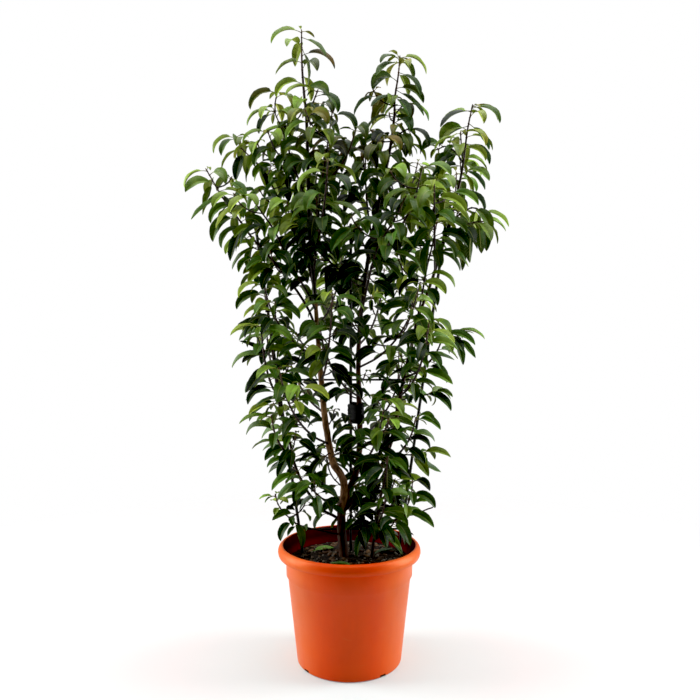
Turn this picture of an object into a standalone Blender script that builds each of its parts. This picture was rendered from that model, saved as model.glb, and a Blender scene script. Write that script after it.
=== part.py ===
"""Portugal laurel in a round terracotta-coloured pot, trained on a small fan trellis.

Metres, +Z up. The origin is the middle of the pot's foot, on the floor. The photo looks along +Y,
so -Y is the front and +X is to the right.
"""

import math
import random

import bmesh
import bpy
from mathutils import Vector
from mathutils.bvhtree import BVHTree

# Pot
POT_HEIGHT = 0.225
POT_RIM_RADIUS = 0.140
POT_FOOT_RADIUS = 0.102
POT_WALL = 0.0028
POT_FLOOR = 0.003
POT_STEPS = 32
BEAD_HEIGHT = 0.021
BEAD_OUTLINE = ((0.0035, 0.0010), (0.0008, 0.0045), (0.0, 0.0095), (0.0018, 0.0160),
                (0.0058, 0.0202), (0.0085, 0.0210), (0.0115, 0.0188))
COLLAR_RADIUS = 0.1245
COLLAR_DRAFT = 0.001
COLLAR_BOTTOM = 0.1675
WALL_TOP_RADIUS = 0.1205
WALL_TOP = 0.165
FOOT_ROUNDING = 0.003
DRAIN_SLOTS = 4
DRAIN_TURN = math.radians(-52.0)
DRAIN_WIDTH = 0.014
DRAIN_DEPTH = 0.012
DRAIN_TOP = 0.005
DRAIN_INSET = 0.002
DRAIN_BELOW = 0.004

# Soil
GAP = 0.0003
SOIL_EDGE = 0.193
SOIL_MOUND = 0.199
SOIL_CROWN_RADIUS = 0.070
SOIL_CROWN_DROP = 0.002

# Trellis: rods lean away from the middle one
TRELLIS_Y = 0.032
ROD_RADIUS = 0.003
ROD_BOTTOM = 0.080
ROD_TOP = 0.862
ROD_SOIL_HEIGHT = 0.195
RODS = {
    "rod_left": (-0.094, -0.145),
    "rod_middle": (0.003, 0.0),
    "rod_right": (0.0995, 0.1435),
}
RUNG_RADIUS = 0.002
RUNG_OVERHANG = 0.004
RUNGS = {"rung_low": 0.242, "rung_middle": 0.545, "rung_high": 0.818}

# Ties: the rod, the stem, the height above the floor and the width of the band
TIES = {
    "tie_left_low": ("rod_left", "shoot_low_left", 0.490, 0.003),
    "tie_left_high": ("rod_left", "shoot_low_left", 0.684, 0.003),
    "tie_middle": ("rod_middle", "stem_middle", 0.478, 0.042),
}
TIE_CLEARANCE = 0.0005
TIE_THICKNESS = 0.0014
TIE_POINTS = 4

# Woody stems of the trunk's own node: route, radius at the start and at the end
WOODY_STEMS = {
    "trunk": (
        ((-0.011, 0.000, 0.130), (-0.011, 0.000, 0.195), (-0.015, -0.002, 0.250),
         (-0.016, -0.001, 0.305)),
        0.0105, 0.0085,
    ),
    "stem_left": (
        ((-0.015, -0.001, 0.280), (-0.010, -0.003, 0.335), (-0.017, -0.005, 0.361),
         (-0.030, -0.006, 0.380), (-0.037, -0.005, 0.405), (-0.042, -0.003, 0.432),
         (-0.048, 0.000, 0.470), (-0.054, 0.003, 0.530), (-0.060, 0.005, 0.600),
         (-0.067, 0.005, 0.700)),
        0.0080, 0.0042,
    ),
    "stem_middle": (
        ((-0.013, 0.000, 0.292), (-0.002, 0.004, 0.325), (0.013, 0.009, 0.361),
         (0.020, 0.012, 0.408), (0.021, 0.014, 0.460), (0.019, 0.015, 0.520),
         (0.018, 0.015, 0.582), (0.020, 0.014, 0.640), (0.026, 0.012, 0.700)),
        0.0070, 0.0040,
    ),
    "stem_right": (
        ((-0.012, 0.000, 0.288), (0.008, -0.003, 0.309), (0.036, -0.004, 0.330),
         (0.060, -0.004, 0.368), (0.082, -0.002, 0.424), (0.094, 0.000, 0.474),
         (0.107, 0.006, 0.545), (0.128, 0.012, 0.629), (0.135, 0.014, 0.663),
         (0.160, 0.016, 0.730)),
        0.0050, 0.0031,
    ),
}

# Leafy shoots seen in the photo: parent, route, radius and bare length at the start
SEEN_SHOOTS = {
    "leader_left": (
        "stem_left",
        ((-0.067, 0.005, 0.697), (-0.075, 0.003, 0.800), (-0.080, 0.000, 0.900),
         (-0.084, -0.005, 1.058), (-0.088, -0.005, 1.099), (-0.093, -0.005, 1.164),
         (-0.094, -0.004, 1.232)),
        0.0040, 0.03,
    ),
    "leader_middle": (
        "stem_middle",
        ((0.026, 0.012, 0.697), (0.038, 0.014, 0.790), (0.055, 0.016, 0.880),
         (0.080, 0.018, 1.000), (0.090, 0.018, 1.071), (0.091, 0.018, 1.108),
         (0.098, 0.017, 1.155), (0.101, 0.016, 1.190)),
        0.0038, 0.03,
    ),
    "leader_right": (
        "stem_right",
        ((0.159, 0.016, 0.727), (0.168, 0.014, 0.754), (0.181, 0.010, 0.797),
         (0.205, 0.005, 0.880), (0.222, 0.002, 0.955), (0.233, -0.002, 1.038),
         (0.242, -0.004, 1.085)),
        0.0029, 0.03,
    ),
    "shoot_low_left": (
        "trunk",
        ((-0.016, -0.002, 0.270), (-0.034, -0.004, 0.281), (-0.053, -0.001, 0.291),
         (-0.086, 0.010, 0.328), (-0.110, 0.016, 0.379), (-0.119, 0.018, 0.420),
         (-0.139, 0.019, 0.490), (-0.154, 0.018, 0.602), (-0.161, 0.017, 0.665),
         (-0.171, 0.014, 0.740), (-0.180, 0.010, 0.815)),
        0.0026, 0.10,
    ),
    "shoot_left_inner": (
        "leader_left",
        ((-0.071, 0.003, 0.755), (-0.064, -0.010, 0.815), (-0.060, -0.017, 0.872),
         (-0.055, -0.021, 0.921), (-0.044, -0.023, 0.991), (-0.033, -0.022, 1.068)),
        0.0022, 0.03,
    ),
    "shoot_upper_left": (
        "leader_left",
        ((-0.070, 0.004, 0.728), (-0.085, 0.015, 0.785), (-0.112, 0.026, 0.850),
         (-0.150, 0.033, 0.925), (-0.172, 0.036, 0.968), (-0.199, 0.038, 0.996),
         (-0.220, 0.038, 1.016)),
        0.0022, 0.05,
    ),
    "shoot_far_left": (
        "stem_left",
        ((-0.063, 0.005, 0.640), (-0.082, -0.005, 0.688), (-0.116, -0.014, 0.740),
         (-0.160, -0.022, 0.792), (-0.186, -0.026, 0.820), (-0.209, -0.028, 0.852),
         (-0.242, -0.030, 0.896), (-0.275, -0.030, 0.952)),
        0.0022, 0.06,
    ),
    "shoot_front_left": (
        "stem_left",
        ((-0.066, 0.005, 0.684), (-0.084, -0.022, 0.722), (-0.112, -0.041, 0.768),
         (-0.139, -0.054, 0.826), (-0.160, -0.060, 0.858), (-0.183, -0.063, 0.890)),
        0.0020, 0.06,
    ),
    "shoot_front_middle": (
        "stem_middle",
        ((0.021, 0.014, 0.655), (0.029, -0.015, 0.702), (0.041, -0.045, 0.757),
         (0.052, -0.062, 0.795), (0.066, -0.073, 0.820), (0.085, -0.080, 0.850),
         (0.105, -0.084, 0.890)),
        0.0022, 0.06,
    ),
    "shoot_right_inner": (
        "stem_right",
        ((0.136, 0.014, 0.668), (0.142, -0.012, 0.712), (0.150, -0.027, 0.765),
         (0.160, -0.034, 0.808), (0.168, -0.036, 0.850)),
        0.0018, 0.05,
    ),
    "shoot_far_right": (
        "leader_right",
        ((0.194, 0.007, 0.842), (0.211, -0.003, 0.867), (0.233, -0.009, 0.882),
         (0.247, -0.013, 0.883), (0.257, -0.016, 0.874)),
        0.0016, 0.02,
    ),
    "shoot_top_left": (
        "leader_left",
        ((-0.079, 0.001, 0.872), (-0.094, 0.009, 0.925), (-0.115, 0.014, 0.985),
         (-0.130, 0.016, 1.034), (-0.150, 0.016, 1.082)),
        0.0018, 0.04,
    ),
    "shoot_middle_back": (
        "leader_middle",
        ((0.045, 0.015, 0.830), (0.037, 0.032, 0.892), (0.033, 0.040, 0.955),
         (0.033, 0.042, 1.018)),
        0.0018, 0.04,
    ),
    "twig_low_left": (
        "trunk",
        ((-0.013, -0.001, 0.240), (-0.050, -0.018, 0.253), (-0.096, -0.031, 0.268),
         (-0.122, -0.036, 0.290), (-0.136, -0.038, 0.309), (-0.141, -0.039, 0.326)),
        0.0012, 0.075,
    ),
    "twig_low_right": (
        "trunk",
        ((-0.013, -0.001, 0.255), (0.026, -0.020, 0.262), (0.072, -0.032, 0.270),
         (0.096, -0.035, 0.284), (0.110, -0.035, 0.302), (0.116, -0.034, 0.326)),
        0.0016, 0.03,
    ),
    "twig_straight_left": (
        "trunk",
        ((-0.016, -0.002, 0.282), (-0.034, -0.017, 0.300), (-0.060, -0.027, 0.325),
         (-0.088, -0.034, 0.352), (-0.100, -0.037, 0.370)),
        0.0015, 0.04,
    ),
    "second_stem": (
        None,
        ((0.044, -0.010, 0.140), (0.045, -0.011, 0.210), (0.056, -0.018, 0.287),
         (0.062, -0.022, 0.325), (0.071, -0.028, 0.368), (0.076, -0.034, 0.420),
         (0.074, -0.040, 0.465)),
        0.0030, 0.10,
    ),
}

# Twigs fused to the shoot that carries them: the shoot and the route
TWIGS = {
    "twig_left_tip": (
        "leader_left",
        ((-0.084, -0.005, 1.045), (-0.074, -0.016, 1.078), (-0.062, -0.021, 1.108)),
    ),
    "twig_right_tip": (
        "leader_right",
        ((0.225, 0.001, 0.975), (0.213, 0.012, 0.999), (0.194, 0.017, 1.013),
         (0.178, 0.018, 1.008)),
    ),
    "twig_middle_tip": (
        "leader_middle",
        ((0.082, 0.018, 1.012), (0.095, 0.010, 1.032), (0.116, 0.005, 1.044)),
    ),
    "twig_middle_top": (
        "leader_middle",
        ((0.090, 0.018, 1.075), (0.102, 0.026, 1.092), (0.113, 0.030, 1.106)),
    ),
    "twig_top_left": (
        "shoot_top_left",
        ((-0.104, 0.011, 0.955), (-0.124, 0.002, 0.975), (-0.146, -0.004, 1.000),
         (-0.160, -0.006, 1.034)),
    ),
    "twig_low_front": (
        "twig_low_right",
        ((0.050, -0.027, 0.2665), (0.058, -0.044, 0.281), (0.064, -0.058, 0.303),
         (0.068, -0.066, 0.330)),
    ),
    "twig_second_low": (
        "second_stem",
        ((0.0475, -0.0125, 0.232), (0.066, -0.024, 0.249), (0.086, -0.018, 0.268),
         (0.098, -0.010, 0.292)),
    ),
    "twig_second_back": (
        "second_stem",
        ((0.054, -0.016, 0.272), (0.064, 0.000, 0.292), (0.080, 0.008, 0.318),
         (0.090, 0.008, 0.346)),
    ),
}
TWIG_RADIUS = 0.0014
TWIG_BARE = 0.012

# Shoots whose leaves are small, with the leaves' size
SMALL_LEAVED = {"twig_low_left": 0.48}

# Side shoots that fill the bush: parent, height of the fork, heading from +X towards +Y, length
SIDE_SHOOTS = {
    "side_left_1": ("stem_left", 0.420, 232.0, 0.215),
    "side_left_2": ("stem_left", 0.480, 128.0, 0.225),
    "side_left_3": ("stem_left", 0.545, 280.0, 0.225),
    "side_left_4": ("stem_left", 0.590, 218.0, 0.195),
    "side_left_5": ("stem_left", 0.655, 72.0, 0.235),
    "side_middle_1": ("stem_middle", 0.375, 292.0, 0.200),
    "side_middle_2": ("stem_middle", 0.430, 48.0, 0.215),
    "side_middle_3": ("stem_middle", 0.512, 236.0, 0.205),
    "side_middle_4": ("stem_middle", 0.570, 320.0, 0.225),
    "side_middle_5": ("stem_middle", 0.615, 68.0, 0.240),
    "side_right_1": ("stem_right", 0.385, 312.0, 0.130),
    "side_right_2": ("stem_right", 0.450, 82.0, 0.215),
    "side_right_3": ("stem_right", 0.515, 288.0, 0.205),
    "side_right_4": ("stem_right", 0.550, 335.0, 0.125),
    "side_right_5": ("stem_right", 0.680, 102.0, 0.225),
    "side_low_1": ("shoot_low_left", 0.395, 245.0, 0.120),
    "side_low_2": ("shoot_low_left", 0.515, 262.0, 0.190),
    "side_low_3": ("shoot_low_left", 0.590, 140.0, 0.080),
    "side_low_4": ("shoot_low_left", 0.555, 108.0, 0.150),
    "side_high_1": ("leader_left", 0.790, 285.0, 0.215),
    "side_high_2": ("leader_left", 0.830, 92.0, 0.215),
    "side_high_3": ("leader_left", 0.915, 335.0, 0.155),
    "side_high_4": ("leader_middle", 0.740, 196.0, 0.215),
    "side_high_5": ("leader_middle", 0.785, 312.0, 0.220),
    "side_high_6": ("leader_middle", 0.870, 42.0, 0.190),
    "side_high_7": ("leader_right", 0.765, 262.0, 0.205),
    "side_high_8": ("leader_right", 0.868, 75.0, 0.165),
}
SIDE_RADIUS = 0.0019
SIDE_BARE = 0.054
SIDE_RISE = (math.radians(24.0), math.radians(70.0))
SIDE_POINTS = 5

TIP_RADIUS = 0.0009
TIP_BUD = 0.002
WOODY_SIDES = 7
ROD_SIDES = 6
LEADER_SIDES = 4
LEADER_RADIUS = 0.0025
SHOOT_SIDES = 3
BEND_TOLERANCE = 0.0006
CURVE_STEPS = 12
DIRECTION_REACH = 0.004
FLAT_ANGLE = math.radians(0.3)

# Leaves
LEAF_STEP = 0.0149
TIP_CROWDING = 0.40
CROWDING_FADE = 0.65
LEAF_SKIP = 2
LEAF_TURN = math.radians(137.5)
LEAF_BLADE = 0.064
LEAF_WIDTH = 0.0245
LEAF_PETIOLE = 0.012
LEAF_THICKNESS = 0.0015
PETIOLE_WIDTH = 0.0016
PETIOLE_FLATNESS = 0.6
BLADE_START = 0.9
ROOT_SHARE = 0.4
LEAF_FOLD = math.radians(22.0)
LEAF_CLEARANCE = 0.0008
LEAF_LINE_STEPS = 16
BLADE_SECTIONS = ((0.36, 1.0), (0.72, 0.70))
LEAF_SCATTER = 14.0
LEAF_OPENING = (48.0, 68.0)
LEAF_OPENING_LESS_AT_TIP = 12.0
LEAF_OUTWARD = 0.6
LEAF_RISE_LIMITS = (math.radians(-15.0), math.radians(32.0))
LEAF_FALL = (-96.0, -58.0)
LEAF_FLATTER = 26.0
LEAF_FLAT_HEIGHTS = (0.45, 0.90)
LEAF_STEEPEST = math.radians(-100.0)
LEAF_SIZE = (0.86, 1.10)
LEAF_SWEEP = 16.0
LEAF_ROLL = 22.0
LEAF_FACING = (42.0, 24.0)
YOUNG_LENGTH = 0.055
YOUNG_LOSS = 0.10
LOW_LOSS = 0.14
LOWEST_LENGTH = 0.03
LOWEST_SIZE = 0.88
LEAF_TRIES = (
    (0, 0), (22, 0), (-22, 0), (0, 18), (40, 0), (-40, 0), (24, -22), (-24, -22), (60, 10),
    (-60, 10), (85, 0), (-85, 0), (115, -10), (-115, -10), (150, 0), (-150, 0),
)

# Fallen leaves on the soil: place and heading
FALLEN_LEAVES = {
    "fallen_leaf_left": (-0.080, 0.030, 20.0),
    "fallen_leaf_right": (0.102, 0.040, 195.0),
    "fallen_leaf_front": (0.012, -0.062, 160.0),
}
FALLEN_BLADE = 0.046
FALLEN_CURL = math.radians(9.0)
FALLEN_SWEEP = math.radians(17.0)
FALLEN_ROLL = math.radians(6.0)

# Colours as red, green and blue from 0 to 1 on screen, with roughness
COLOURS = {
    "pot": ((0.80, 0.34, 0.16), 0.45),
    "soil": ((0.17, 0.12, 0.09), 0.95),
    "bark": ((0.40, 0.26, 0.18), 0.80),
    "leaf": ((0.22, 0.36, 0.14), 0.35),
    "fallen": ((0.48, 0.52, 0.22), 0.50),
    "trellis": ((0.06, 0.06, 0.06), 0.50),
    "tie": ((0.05, 0.05, 0.05), 0.60),
}


def between(value, low, high):
    """A value kept within its limits."""
    return min(max(value, low), high)


def screen_to_linear(value):
    """One colour channel as the shader wants it."""
    return value / 12.92 if value <= 0.04045 else ((value + 0.055) / 1.055) ** 2.4


def make_material(name, kind):
    """A plain shader with the colour and roughness of its kind."""
    colour, roughness = COLOURS[kind]
    material = bpy.data.materials.new(name)
    material.use_nodes = True
    shader = material.node_tree.nodes["Principled BSDF"]
    shader.inputs["Base Color"].default_value = (*map(screen_to_linear, colour), 1.0)
    shader.inputs["Roughness"].default_value = roughness
    shader.inputs["Metallic"].default_value = 0.0
    return material


def make_object(name, corners, faces, kind=None):
    """An object from corners and faces, with its faces pointing out."""
    mesh = bpy.data.meshes.new(name)
    mesh.from_pydata(corners, [], faces)
    shape = bmesh.new()
    shape.from_mesh(mesh)
    bmesh.ops.recalc_face_normals(shape, faces=shape.faces)
    shape.to_mesh(mesh)
    shape.free()
    piece = bpy.data.objects.new(name, mesh)
    bpy.context.scene.collection.objects.link(piece)
    if kind:
        mesh.materials.append(make_material(name, kind))
    return piece


def make_round(piece, sharp_angle=40.0):
    """Shade a piece smooth except at its sharp edges."""
    piece.data.shade_smooth()
    piece.data.set_sharp_from_angle(angle=math.radians(sharp_angle))


def combine(piece, operation, others):
    """Apply one Boolean of a piece with several others, which are then removed."""
    group = bpy.data.collections.new(piece.name + "_others")
    bpy.context.scene.collection.children.link(group)
    for other in others:
        bpy.context.scene.collection.objects.unlink(other)
        group.objects.link(other)
    modifier = piece.modifiers.new("combine", "BOOLEAN")
    modifier.operation = operation
    modifier.operand_type = "COLLECTION"
    modifier.collection = group
    modifier.solver = "EXACT"
    mesh = evaluated_mesh(piece)
    if not is_closed(mesh):
        modifier.solver = "MANIFOLD"
        mesh = evaluated_mesh(piece)
    piece.modifiers.remove(modifier)
    tidy_body(mesh)
    piece.data = mesh
    for other in others:
        bpy.data.objects.remove(other)
    bpy.data.collections.remove(group)


def evaluated_mesh(piece):
    """The mesh that a piece has with its modifiers."""
    graph = bpy.context.evaluated_depsgraph_get()
    return bpy.data.meshes.new_from_object(piece.evaluated_get(graph))


def tidy_body(mesh):
    """Join the flat faces that a Boolean split and drop the loose scraps that it left."""
    shape = bmesh.new()
    shape.from_mesh(mesh)
    bmesh.ops.dissolve_limit(shape, angle_limit=FLAT_ANGLE, verts=shape.verts, edges=shape.edges)
    bmesh.ops.triangulate(shape, faces=shape.faces)
    left = set(shape.verts)
    bodies = []
    while left:
        body = [left.pop()]
        for corner in body:
            near = [edge.other_vert(corner) for edge in corner.link_edges]
            fresh = [other for other in near if other in left]
            left.difference_update(fresh)
            body += fresh
        bodies.append(body)
    bodies.sort(key=len)
    for body in bodies[:-1]:
        bmesh.ops.delete(shape, geom=body, context="VERTS")
    shape.to_mesh(mesh)
    shape.free()


def is_closed(mesh):
    """Whether every edge of a mesh has two faces."""
    shape = bmesh.new()
    shape.from_mesh(mesh)
    closed = all(edge.is_manifold for edge in shape.edges)
    shape.free()
    return closed


def turned(name, profile, kind):
    """A solid turned about the Z axis from a profile of radius and height that ends on it."""
    shape = bmesh.new()
    corners = [shape.verts.new((radius, 0.0, height)) for radius, height in profile]
    edges = [shape.edges.new(pair) for pair in zip(corners, corners[1:])]
    bmesh.ops.spin(shape, geom=corners + edges, cent=(0, 0, 0), axis=(0, 0, 1),
                   angle=math.tau, steps=POT_STEPS, use_merge=True)
    bmesh.ops.remove_doubles(shape, verts=shape.verts, dist=1e-6)
    bmesh.ops.recalc_face_normals(shape, faces=shape.faces)
    mesh = bpy.data.meshes.new(name)
    shape.to_mesh(mesh)
    shape.free()
    mesh.materials.append(make_material(name, kind))
    piece = bpy.data.objects.new(name, mesh)
    bpy.context.scene.collection.objects.link(piece)
    return piece


def pot_profile():
    """The pot's outline from the middle of its foot, up the outside and down the inside."""
    bead = POT_HEIGHT - BEAD_HEIGHT
    slope = (WALL_TOP_RADIUS - POT_FOOT_RADIUS) / WALL_TOP
    inner_floor = POT_FOOT_RADIUS + slope * POT_FLOOR - POT_WALL
    return (
        (0.0, 0.0),
        (POT_FOOT_RADIUS - FOOT_ROUNDING, 0.0),
        (POT_FOOT_RADIUS - FOOT_ROUNDING / 3, FOOT_ROUNDING / 3),
        (POT_FOOT_RADIUS + slope * FOOT_ROUNDING, FOOT_ROUNDING),
        (WALL_TOP_RADIUS, WALL_TOP),
        (COLLAR_RADIUS - COLLAR_DRAFT, COLLAR_BOTTOM),
        (COLLAR_RADIUS, bead),
        *((POT_RIM_RADIUS - inset, bead + rise) for inset, rise in BEAD_OUTLINE),
        (COLLAR_RADIUS - POT_WALL, bead - COLLAR_DRAFT),
        (COLLAR_RADIUS - COLLAR_DRAFT - POT_WALL, COLLAR_BOTTOM),
        (WALL_TOP_RADIUS - POT_WALL, WALL_TOP),
        (inner_floor, POT_FLOOR),
        (0.0, POT_FLOOR),
    )


def drain_cutter(turn):
    """A block that opens one drain slot through the pot's bottom corner."""
    middle = POT_FOOT_RADIUS - DRAIN_INSET
    half_depth = DRAIN_DEPTH / 2
    half_width = DRAIN_WIDTH / 2
    heading = Vector((math.sin(turn), -math.cos(turn), 0.0))
    across = Vector((-heading.y, heading.x, 0.0))
    corners = [
        heading * (middle + out * half_depth) + across * side * half_width + Vector((0, 0, height))
        for height in (-DRAIN_BELOW, DRAIN_TOP) for out, side in ((-1, -1), (1, -1), (1, 1), (-1, 1))
    ]
    faces = [(0, 1, 2, 3), (4, 5, 6, 7), (0, 1, 5, 4), (1, 2, 6, 5), (2, 3, 7, 6), (3, 0, 4, 7)]
    return make_object("drain_cutter", corners, faces)


def build_pot():
    """The pot with its bead, collar and drain slots."""
    pot = turned("pot", pot_profile(), "pot")
    turns = [DRAIN_TURN + math.tau * index / DRAIN_SLOTS for index in range(DRAIN_SLOTS)]
    combine(pot, "DIFFERENCE", [drain_cutter(turn) for turn in turns])
    make_round(pot)
    return pot


def build_soil(sunk):
    """The soil that fills the pot, with a plain hole for everything sunk in it."""
    slope = (WALL_TOP_RADIUS - POT_FOOT_RADIUS) / WALL_TOP
    foot = POT_FOOT_RADIUS + slope * POT_FLOOR - POT_WALL - GAP
    collar = COLLAR_RADIUS - COLLAR_DRAFT - POT_WALL - GAP
    profile = (
        (0.0, POT_FLOOR + GAP),
        (foot, POT_FLOOR + GAP),
        (WALL_TOP_RADIUS - POT_WALL - GAP, WALL_TOP),
        (collar, COLLAR_BOTTOM + COLLAR_DRAFT),
        (collar, SOIL_EDGE),
        (SOIL_CROWN_RADIUS, SOIL_MOUND - SOIL_CROWN_DROP),
        (0.0, SOIL_MOUND),
    )
    soil = turned("soil", profile, "soil")
    combine(soil, "DIFFERENCE", sunk)
    make_round(soil)
    return soil


class Route:
    """A smooth line through a few points, measured along its length."""

    def __init__(self, points):
        points = [Vector(point) for point in points]
        ends = [2 * points[0] - points[1], *points, 2 * points[-1] - points[-2]]
        self.points = []
        for before, start, end, after in zip(ends, ends[1:], ends[2:], ends[3:]):
            for step in range(CURVE_STEPS):
                t = step / CURVE_STEPS
                self.points.append(0.5 * (
                    2 * start + (end - before) * t
                    + (2 * before - 5 * start + 4 * end - after) * t ** 2
                    + (3 * start - before - 3 * end + after) * t ** 3
                ))
        self.points.append(points[-1])
        self.marks = [0.0]
        for one, two in zip(self.points, self.points[1:]):
            self.marks.append(self.marks[-1] + (two - one).length)
        self.length = self.marks[-1]

    def at(self, distance):
        """The point at a distance from the start."""
        distance = between(distance, 0.0, self.length)
        for index in range(1, len(self.marks)):
            if self.marks[index] >= distance:
                break
        span = self.marks[index] - self.marks[index - 1]
        return self.points[index - 1].lerp(
            self.points[index], (distance - self.marks[index - 1]) / span)

    def direction(self, distance):
        """The direction of growth at a distance from the start."""
        return (self.at(distance + DIRECTION_REACH)
                - self.at(distance - DIRECTION_REACH)).normalized()

    def stations(self, start=None, end=None):
        """Distances along the route that are close enough together to follow its bends."""
        if start is None:
            return self.stations(0.0, self.length) + [self.length]
        middle = (start + end) / 2
        off = (self.at(middle) - (self.at(start) + self.at(end)) / 2).length
        quarter = start + (end - start) / 4
        off_quarter = (self.at(quarter) - self.at(start).lerp(self.at(end), 0.25)).length
        if max(off, off_quarter) < BEND_TOLERANCE:
            return [start]
        return self.stations(start, middle) + self.stations(middle, end)

    def distance_at_height(self, height):
        """How far along the route first reaches a height."""
        for index in range(1, len(self.marks)):
            low = self.points[index - 1].z
            high = self.points[index].z
            if high >= height:
                share = (height - low) / (high - low)
                return self.marks[index - 1] * (1 - share) + self.marks[index] * share
        return self.length


class Stem:
    """A tapering stem: its route and radii, where its leaves start and their size."""

    def __init__(self, route, base_radius, tip_radius, sides, bare=None, leaf_size=1.0):
        self.route = route
        self.base_radius = base_radius
        self.tip_radius = tip_radius
        self.sides = sides
        self.bare = bare
        self.leaf_size = leaf_size
        self.stations = route.stations()

    def radius(self, distance):
        """The stem's radius at a distance from its start."""
        share = between(distance / self.route.length, 0.0, 1.0)
        return self.base_radius + (self.tip_radius - self.base_radius) * share

    def centre(self, distance):
        """The middle of the stem's straight-sided tube at a distance from its start."""
        for start, end in zip(self.stations, self.stations[1:]):
            if end >= distance:
                break
        share = (distance - start) / (end - start)
        return self.route.at(start).lerp(self.route.at(end), share)

    def tube(self, extra=0.0):
        """Corners and faces of the stem, thicker and longer by `extra` where that is wanted."""
        sides = self.sides
        stations = self.stations
        count = len(stations) - 1
        corners = []
        faces = []
        across = self.route.direction(0.0).orthogonal().normalized()
        for index, distance in enumerate(stations):
            along = self.route.direction(distance)
            centre = self.route.at(distance)
            centre += along * extra * ((index == count) - (index == 0))
            across = (across - across.dot(along) * along).normalized()
            other = along.cross(across)
            radius = self.radius(distance) + extra
            for side in range(sides):
                turn = math.tau * side / sides
                corners.append(centre + radius * (math.cos(turn) * across + math.sin(turn) * other))
        for ring in range(count):
            for side in range(sides):
                low = ring * sides + side
                next_low = ring * sides + (side + 1) % sides
                faces.append((low, next_low, next_low + sides, low + sides))
        faces.append(tuple(range(sides - 1, -1, -1)))
        faces.append(tuple(range(count * sides, (count + 1) * sides)))
        return corners, faces


class Leaf:
    """A stalked blade that springs from a stem and arches over."""

    def __init__(self, start, root, heading, rise, fall, size, sweep, roll):
        self.start = start
        self.root = root
        self.heading = heading
        self.rise = rise
        self.fall = fall
        self.size = size
        self.sweep = sweep
        self.roll = roll
        self.petiole = LEAF_PETIOLE * (1 + size) / 2
        self.blade = LEAF_BLADE * size
        self.width = LEAF_WIDTH * (1 + 3 * size) / 4
        self.line = self.midrib()

    def direction(self, share):
        """The midrib's direction at a share of the whole length."""
        rise = self.rise + (self.fall - self.rise) * share
        heading = self.heading + self.sweep * share
        return Vector((math.cos(rise) * math.cos(heading), math.cos(rise) * math.sin(heading),
                       math.sin(rise)))

    def midrib(self):
        """Points of the stalk and midrib from the stem to the tip."""
        step = (self.petiole + self.blade) / LEAF_LINE_STEPS
        points = [self.start.copy()]
        for index in range(LEAF_LINE_STEPS):
            points.append(points[-1] + step * self.direction((index + 0.5) / LEAF_LINE_STEPS))
        return points

    def at(self, distance):
        """The midrib's point, side and upper direction at a distance from the stem."""
        share = min(distance / (self.petiole + self.blade), 1.0)
        place = share * LEAF_LINE_STEPS
        index = min(int(place), LEAF_LINE_STEPS - 1)
        point = self.line[index].lerp(self.line[index + 1], place - index)
        along = self.direction(share)
        heading = self.heading + self.sweep * share
        level = Vector((-math.sin(heading), math.cos(heading), 0.0))
        upper = along.cross(level)
        side = level * math.cos(self.roll) + upper * math.sin(self.roll)
        return point, side, along.cross(side)


def leaf_solid(leaf, inner, margin=0.0):
    """Corners and faces of a leaf from `inner` out, larger by `margin` all round.

    The stalk has a left, a right and a low corner at each end. The blade has a left, a right, a
    low and a high corner at each section, and ends in a point.
    """
    corners = []
    for distance, half_width in ((inner, leaf.root), (leaf.petiole, PETIOLE_WIDTH / 2)):
        point, side, upper = leaf.at(distance)
        stalk = half_width + margin
        corners += [point + side * stalk + upper * stalk * PETIOLE_FLATNESS,
                    point - side * stalk + upper * stalk * PETIOLE_FLATNESS,
                    point - upper * stalk]
    for share, fullness in BLADE_SECTIONS:
        point, side, upper = leaf.at(leaf.petiole + share * leaf.blade)
        half = leaf.width / 2 * fullness + margin
        raised = half * math.sin(LEAF_FOLD)
        half_thick = LEAF_THICKNESS / 2 + margin
        corners += [point + side * half * math.cos(LEAF_FOLD) + upper * raised,
                    point - side * half * math.cos(LEAF_FOLD) + upper * raised,
                    point - upper * half_thick,
                    point + upper * half_thick]
    point, side, upper = leaf.at(leaf.petiole + leaf.blade)
    corners.append(point + (point - corners[-1]).normalized() * margin)
    faces = [(0, 2, 1)]
    faces += [(0, 1, 4), (0, 4, 3), (1, 2, 5), (1, 5, 4), (2, 0, 3), (2, 3, 5)]
    faces += [(3, 9, 6), (3, 4, 9), (4, 7, 9), (3, 6, 8), (3, 8, 5), (4, 5, 8), (4, 8, 7)]
    faces += [(6, 9, 13), (6, 13, 10), (6, 12, 8), (6, 10, 12)]
    faces += [(7, 13, 9), (7, 11, 13), (7, 8, 12), (7, 12, 11)]
    faces += [(10, 13, 14), (13, 11, 14), (11, 12, 14), (12, 10, 14)]
    return corners, faces


class Clearings:
    """What stands in the way of the leaves that are still to be placed."""

    def __init__(self):
        self.items = []

    def add(self, corners, faces, name=None):
        """Keep a solid that later leaves have to miss."""
        low = [min(corner[axis] for corner in corners) for axis in range(3)]
        high = [max(corner[axis] for corner in corners) for axis in range(3)]
        self.items.append((low, high, BVHTree.FromPolygons(corners, faces), name))

    def is_clear(self, corners, faces, besides=None):
        """Whether a solid misses everything kept so far, besides the stem that it may touch."""
        low = [min(corner[axis] for corner in corners) for axis in range(3)]
        high = [max(corner[axis] for corner in corners) for axis in range(3)]
        tree = BVHTree.FromPolygons(corners, faces)
        for item_low, item_high, item_tree, item_name in self.items:
            if besides and item_name == besides:
                continue
            apart = any(item_low[axis] > high[axis] or item_high[axis] < low[axis]
                        for axis in range(3))
            if not apart and tree.overlap(item_tree):
                return False
        return True


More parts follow.
